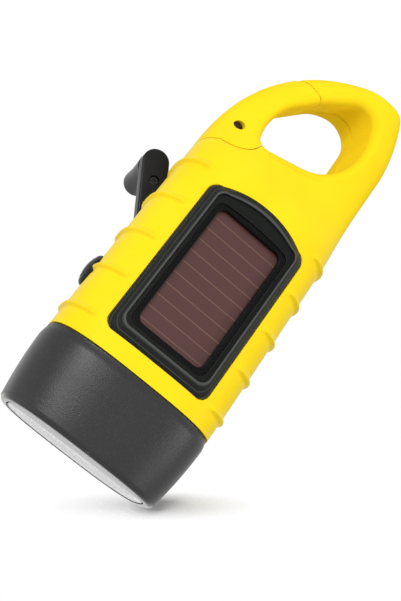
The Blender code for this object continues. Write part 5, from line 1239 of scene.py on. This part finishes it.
def frame_paint(groups):
    """The frame's textured black, with painted highlights lighter along its crest and the edges of its
    ledges, and painted shade darker towards the cell by the frame's own attribute."""
    colour = (0.014, 0.0155, 0.014)
    made = black_paint(groups, "frame_moulding", colour, 3200.0, 0.12, 0.32, 0.0, 0.07)
    tree = made.node_tree
    shader = tree.nodes["Principled BSDF"]
    depth = object_axis(tree, "Y")
    # Painted highlights: thin lighter grey bands, set by depth, along the crest and along the edges of the
    # ledges.
    start, end = (FRAME_CREST_Y + CREST_HIGHLIGHT_START) * MM, (FRAME_CREST_Y + CREST_HIGHLIGHT_END) * MM
    painted_highlight = span(tree, depth, start, end, 0.0, 0.75)
    for edge in (FRAME_STEP_Y, FRAME_LEDGE_Y + FRAME_PROUD):
        away = math_node(tree, "SUBTRACT", depth, (edge + LEDGE_HIGHLIGHT_DEPTH) * MM)
        near = span(tree, math_node(tree, "ABSOLUTE", away), 0.04 * MM, 0.08 * MM, 0.5, 0.0)
        painted_highlight = math_node(tree, "MAXIMUM", painted_highlight, near)
    # Painted shade: the frame turns darker towards the cell by how far inside it lies.
    inside = node(tree, "ShaderNodeAttribute", attribute_name="inside").outputs["Fac"]
    tone = colour_mix(tree, inside, source_of(shader, "Base Color"), (0.0025, 0.003, 0.0025))
    feed(tree, shader, Base_Color=colour_mix(tree, painted_highlight, tone, (0.09, 0.095, 0.09)))
    return made


def cell_paint(groups):
    """The cell: a deep brown film under a clear face, with a faint mottle, crossed by thin paler
    lines at an even pitch."""
    made, tree, shader = paint("cell_film", (0.09, 0.035, 0.033), 0.3, Specular_IOR_Level=0.3)
    first = (FRAME_TOP_Z - FRAME_TOP_INSET - CELL_FIRST_LINE) * MM
    rise = math_node(tree, "SUBTRACT", object_axis(tree, "Z"), first)
    steps = math_node(tree, "DIVIDE", rise, CELL_LINE_PITCH * MM)
    wrapped = math_node(tree, "FRACT", math_node(tree, "ADD", steps, CELL_LINES_BELOW + 0.5))
    away = math_node(tree, "ABSOLUTE", math_node(tree, "SUBTRACT", wrapped, 0.5))
    line = span(tree, away, 0.015, 0.045, 1.0, 0.0)
    grain = use(tree, groups["grain"], Scale=1400.0, Detail=2.0)
    tone = colour_mix(tree, grain.outputs["Mottle"], (0.068, 0.026, 0.0245), (0.083, 0.033, 0.031))
    tone = colour_mix(tree, math_node(tree, "MULTIPLY", line, 0.6), tone, (0.22, 0.115, 0.08))
    feed(tree, shader, Base_Color=tone, Roughness=span(tree, line, 0.0, 1.0, 0.3, 0.42))
    bump(tree, shader, line, 0.2, 0.02)
    return made


def metal_paint(groups, name, colour, roughness, scale=900.0):
    """Drawn or turned metal: fine marks in gloss, a slow change of tone."""
    made, tree, shader = paint(name, colour, roughness, 1.0)
    marks = use(tree, groups["brushed"], Scale=scale)
    darker = tuple(c * 0.8 for c in colour)
    tone = colour_mix(tree, span(tree, marks.outputs["Tone"], 0.35, 0.65), darker, colour)
    rough = span(tree, marks.outputs["Height"], 0.3, 0.7, roughness * 0.7, roughness * 1.4)
    feed(tree, shader, Base_Color=tone, Roughness=rough)
    bump(tree, shader, marks.outputs["Height"], 0.15, 0.02)
    return made


def clear_paint(groups):
    """Clear moulded window: smooth, with a faint ripple and fine dust."""
    made, tree, shader = paint(
        "clear_window", (0.99, 0.995, 1.0), 0.02, Transmission_Weight=1.0, IOR=1.49
    )
    grain = use(tree, groups["grain"], Scale=500.0, Detail=1.0)
    feed(tree, shader, Roughness=span(tree, grain.outputs["Specks"], 0.0, 1.0, 0.015, 0.07))
    bump(tree, shader, grain.outputs["Mottle"], 0.02, 0.05)
    return made


def epoxy_paint(groups):
    """Clear lamp body with a faint milky ripple."""
    made, tree, shader = paint(
        "lamp_epoxy", (0.96, 0.97, 0.97), 0.05, Transmission_Weight=1.0, IOR=1.52
    )
    grain = use(tree, groups["grain"], Scale=700.0, Detail=1.0)
    feed(tree, shader, Roughness=drift(tree, grain, 0.03, 0.08))
    return made


def mirror_paint(groups):
    """Vacuum silvered plastic: bright, with a slight orange peel and haze."""
    made, tree, shader = paint("silvered_dish", (0.9, 0.9, 0.91), 0.12, 1.0)
    grain = use(tree, groups["grain"], Scale=260.0, Detail=2.0)
    tone = colour_mix(tree, grain.outputs["Mottle"], (0.93, 0.93, 0.94), (0.98, 0.98, 0.98))
    feed(tree, shader, Base_Color=tone, Roughness=drift(tree, grain, 0.1, 0.2))
    bump(tree, shader, grain.outputs["Mottle"], 0.05, 0.05)
    return made


def board_paint(groups):
    """Circuit board: green resist with a faint mottle, copper tracks showing as lighter lines."""
    made, tree, shader = paint(
        "board_resist", (0.02, 0.16, 0.06), 0.35, Coat_Weight=0.4, Coat_Roughness=0.2
    )
    flat = {"Vector": object_place(tree), "Rotation": (math.pi / 2, 0.0, 0.0)}
    black, white = (0.0, 0.0, 0.0, 1.0), (1.0, 1.0, 1.0, 1.0)
    bricks = {"Scale": 260.0, "Mortar Size": 0.035, "Color1": black, "Color2": black, "Mortar": white}
    place = node(tree, "ShaderNodeMapping", flat).outputs[0]
    tracks = node(tree, "ShaderNodeTexBrick", {"Vector": place, **bricks}).outputs["Color"]
    grain = use(tree, groups["grain"], Scale=1500.0, Detail=2.0)
    tone = colour_mix(tree, grain.outputs["Mottle"], (0.012, 0.12, 0.045), (0.025, 0.18, 0.07))
    tone = colour_mix(tree, math_node(tree, "MULTIPLY", tracks, 0.6), tone, (0.06, 0.34, 0.14))
    feed(tree, shader, Base_Color=tone)
    bump(tree, shader, tracks, 0.3, 0.03)
    return made


def copper_paint(groups):
    """Wound enamelled wire: fine rounds across the coil's axis, with a slow change of tone."""
    made, tree, shader = paint(
        "wound_wire", (0.62, 0.26, 0.1), 0.32, 1.0, Coat_Weight=0.5, Coat_Roughness=0.15
    )
    turns = math_node(tree, "MULTIPLY", object_axis(tree, "Y"), 2.0 * math.pi / (WIRE_PITCH * MM))
    grain = use(tree, groups["grain"], Scale=600.0, Detail=2.0)
    tone = colour_mix(tree, grain.outputs["Mottle"], (0.5, 0.19, 0.07), (0.72, 0.33, 0.14))
    feed(tree, shader, Base_Color=tone, Roughness=drift(tree, grain, 0.25, 0.4))
    bump(tree, shader, math_node(tree, "SINE", turns), 0.6, 0.06)
    return made


def moulded_paint(groups, name, colour, roughness, scale):
    """Plain moulded resin or rubber with a fine grain."""
    made, tree, shader = paint(name, colour, roughness)
    grain = use(tree, groups["grain"], Scale=scale, Detail=2.0)
    low, high = tuple(c * 0.92 for c in colour), tuple(c * 1.06 for c in colour)
    tone = colour_mix(tree, grain.outputs["Mottle"], low, high)
    rough = drift(tree, grain, roughness - 0.05, roughness + 0.08)
    feed(tree, shader, Base_Color=tone, Roughness=rough)
    bump(tree, shader, grain.outputs["Height"], 0.15, 0.03)
    return made


def make_paints():
    """Every finish of the flashlight, by the record's slot name, and those of new pieces."""
    groups = {"grain": grain_group(), "wear": wear_and_highlight_group(), "brushed": brushed_group()}
    black = (0.007, 0.007, 0.0075)
    return {
        "yellow_plastic": yellow_paint(groups),
        "black_plastic": black_paint(groups, "black_moulding", black, 3200.0, 0.03, 0.32, 0.35, 0.14),
        "frame_black": frame_paint(groups),
        "head_black": head_paint(groups),
        "clear_lens": clear_paint(groups),
        "soft_seal": moulded_paint(groups, "seal_rubber", (0.6, 0.6, 0.58), 0.6, 1500.0),
        "mirror_silver": mirror_paint(groups),
        "led_epoxy": epoxy_paint(groups),
        "lamp_phosphor": moulded_paint(groups, "lamp_phosphor", (0.85, 0.66, 0.12), 0.6, 3000.0),
        "solar_cell": cell_paint(groups),
        "circuit_board": board_paint(groups),
        "steel": metal_paint(groups, "drawn_steel", (0.56, 0.56, 0.58), 0.32),
        "dark_steel": metal_paint(groups, "blackened_steel", (0.05, 0.035, 0.022), 0.45),
        "black_steel": metal_paint(groups, "black_screw", (0.03, 0.03, 0.03), 0.4),
        "copper_coil": copper_paint(groups),
        "magnet": moulded_paint(groups, "sintered_magnet", (0.1, 0.1, 0.105), 0.45, 2200.0),
        "white_gear": moulded_paint(groups, "gear_resin", (0.8, 0.79, 0.75), 0.38, 1200.0),
        "brass": metal_paint(groups, "turned_brass", (0.75, 0.55, 0.22), 0.3, 1300.0),
    }


# Stage


def frame_matrix(right, up, back, place):
    """A placing matrix from three axes and a point."""
    made = Matrix.Identity(4)
    for row in range(3):
        made[row][0], made[row][1], made[row][2], made[row][3] = right[row], up[row], back[row], place[row]
    return made


def make_camera():
    """The camera at the photograph's viewing angle."""
    data = bpy.data.cameras.new("camera")
    data.lens, data.sensor_width = CAMERA_LENS, 36.0
    data.clip_start, data.clip_end = 0.01, 20.0
    camera = bpy.data.objects.new("camera", data)
    camera.matrix_world = frame_matrix(RIGHT, UP, BACK, CAMERA_PLACE)
    bpy.context.collection.objects.link(camera)
    bpy.context.scene.camera = camera


def soft_lamp(name, direction, distance, size, power):
    """A square soft lamp that looks at the object from a direction on the camera's axes."""
    towards = direction[0] * RIGHT + direction[1] * UP + direction[2] * BACK
    towards = towards / np.linalg.norm(towards)
    side = np.cross(UP, towards)
    side /= np.linalg.norm(side)
    data = bpy.data.lights.new(name, "AREA")
    data.shape, data.size, data.energy = "SQUARE", size, power
    lamp = bpy.data.objects.new(name, data)
    lamp.matrix_world = frame_matrix(side, np.cross(towards, side), towards, LAMP_TARGET + towards * distance)
    bpy.context.collection.objects.link(lamp)


def make_world():
    """Soft grey surroundings for the light, white where the camera, gloss or glass sees them."""
    world = bpy.data.worlds.new("studio")
    bpy.context.scene.world = world
    world.use_nodes = True
    tree = world.node_tree
    tree.nodes.clear()
    path = node(tree, "ShaderNodeLightPath").outputs
    seen = math_node(tree, "MAXIMUM", path["Is Camera Ray"], path["Is Transmission Ray"])
    seen = math_node(tree, "MAXIMUM", seen, path["Is Glossy Ray"])
    ambient, white = (
        node(tree, "ShaderNodeBackground", {"Color": (1.0, 1.0, 1.0, 1.0), "Strength": strength})
        for strength in (AMBIENT, 1.0)
    )
    mixed = node(tree, "ShaderNodeMixShader", {0: seen, 1: ambient.outputs[0], 2: white.outputs[0]})
    feed(tree, node(tree, "ShaderNodeOutputWorld"), Surface=mixed.outputs[0])


def floor_paint():
    """Pale and glowing slightly, shown where the shadow lies: it fades out along an oval, sooner
    towards the camera and away from it than to the sides, is weaker on the left, and is clear
    from below, in reflections and through glass."""
    made = bpy.data.materials.new("pale_floor")
    made.use_nodes = True
    tree = made.node_tree
    tree.nodes.clear()
    place = object_place(tree)
    oval = {"Vector": place, "Location": SHADOW_SHIFT, "Scale": SHADOW_SQUEEZE}
    oval_place = node(tree, "ShaderNodeMapping", oval).outputs[0]
    reach = node(tree, "ShaderNodeVectorMath", {0: oval_place}, operation="LENGTH").outputs["Value"]
    weaker = span(tree, object_axis(tree, "X"), *SHADOW_LEFT_SPAN, SHADOW_LEFT_SHARE, 1.0)
    fade = math_node(tree, "MULTIPLY", span(tree, reach, *SHADOW_FADE, 1.0, 0.0), weaker)
    above = math_node(tree, "SUBTRACT", 1.0, node(tree, "ShaderNodeNewGeometry").outputs["Backfacing"])
    path = node(tree, "ShaderNodeLightPath").outputs
    mirrored = math_node(tree, "MAXIMUM", path["Is Glossy Ray"], path["Is Transmission Ray"])
    direct = math_node(tree, "SUBTRACT", 1.0, mirrored)
    shown = math_node(tree, "MULTIPLY", math_node(tree, "MULTIPLY", fade, above), direct)
    matt = node(tree, "ShaderNodeBsdfDiffuse", {"Color": FLOOR_COLOUR}).outputs[0]
    glow = node(tree, "ShaderNodeEmission", {"Strength": FLOOR_GLOW}).outputs[0]
    lit = node(tree, "ShaderNodeAddShader", {0: matt, 1: glow}).outputs[0]
    clear = node(tree, "ShaderNodeBsdfTransparent").outputs[0]
    mixed = node(tree, "ShaderNodeMixShader", {0: shown, 1: clear, 2: lit})
    feed(tree, node(tree, "ShaderNodeOutputMaterial"), Surface=mixed.outputs[0])
    return made


def make_floor():
    """A disc under the lowest point of the rim, which holds the object's own shadow: a fan of the
    circle's points about its middle."""
    normal = math.cos(FLOOR_TILT) * UP + math.sin(FLOOR_TILT) * BACK
    rim = ovals((RIM_Z,), (RIM_HALF_WIDTH,), (RIM_HALF_DEPTH,), HEAD_POWER, 200)[0] * MM
    low_point = rim[np.argmin(rim @ normal)]
    side = RIGHT - (RIGHT @ normal) * normal
    side /= np.linalg.norm(side)
    here = np.arange(FLOOR_SIDES)
    points = np.zeros((FLOOR_SIDES + 1, 3))
    points[1:, :2] = circle(FLOOR_SIDES) * FLOOR_RADIUS
    faces = np.stack((np.zeros_like(here), here + 1, np.roll(here, -1) + 1), axis=1)
    mesh = bpy.data.meshes.new("floor")
    mesh.from_pydata(points.tolist(), [], faces.tolist())
    floor = bpy.data.objects.new("floor", mesh)
    floor.matrix_world = frame_matrix(side, np.cross(normal, side), normal, low_point)
    bpy.context.collection.objects.link(floor)
    mesh.materials.append(floor_paint())


# Main


def stand_for(piece, finish, *nodes, body=None):
    """A finished piece takes its paint and slot, rides on the body of what it stands for, and
    hides it."""
    piece.data.materials.clear()
    piece.data.materials.append(paints[finish])
    piece.data.polygons.foreach_set("material_index", np.zeros(len(piece.data.polygons), np.int32))
    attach(piece, body or frame["nodes"][nodes[0]]["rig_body"])
    if nodes:
        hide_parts(*nodes)


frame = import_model()
paints = make_paints()
for cad_node in frame["nodes"].values():
    held = cad_node.data.materials[0].name.split(".")[0]
    cad_node.data.materials.clear()
    cad_node.data.materials.append(paints[held])

form = carve(body_form(), [opening_tool()])
stand_for(make_gate(form), "yellow_plastic", "gate")
front_piece, rear_piece = make_shells(form, frame["nodes"])
stand_for(front_piece, "yellow_plastic", "front_shell")
stand_for(rear_piece, "yellow_plastic", "rear_shell")
stand_for(make_gate_pin(), "dark_steel", "gate_pin")
stand_for(make_frame(), "frame_black", "solar_frame")
stand_for(make_cell(), "solar_cell", "solar_cell")
stand_for(make_head(), "head_black", "head_bezel")
stand_for(make_lens(), "clear_lens", "lens")
stand_for(make_seal(), "soft_seal", "lens_seal")
stand_for(make_reflector(), "mirror_silver", "reflector")
lamp_body = frame["nodes"]["led_1"]["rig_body"]
for index, (lamp, cup, die) in enumerate(make_lamps()):
    stand_for(lamp, "led_epoxy", f"led_{index + 1}")
    stand_for(cup, "steel", body=lamp_body)
    stand_for(die, "lamp_phosphor", body=lamp_body)
arm_piece, blade_screw, hinge_pin = make_arm()
stand_for(arm_piece, "black_plastic", "crank_arm")
stand_for(blade_screw, "black_steel", "arm_screw")
stand_for(hinge_pin, "steel", "fold_pin")
stand_for(make_hub(), "black_plastic", "crank_hub")
stand_for(make_knob(), "black_plastic", "crank_knob")
stand_for(make_button(), "black_plastic", "switch_button")
for index, screw in enumerate(SCREWS):
    stand_for(make_screw(index + 1, *screw), "steel", f"housing_screw_{index + 1}")

make_camera()
make_world()
for lamp_row in LAMPS:
    soft_lamp(*lamp_row)
make_floor()

bpy.context.scene.view_settings.view_transform = "Standard"
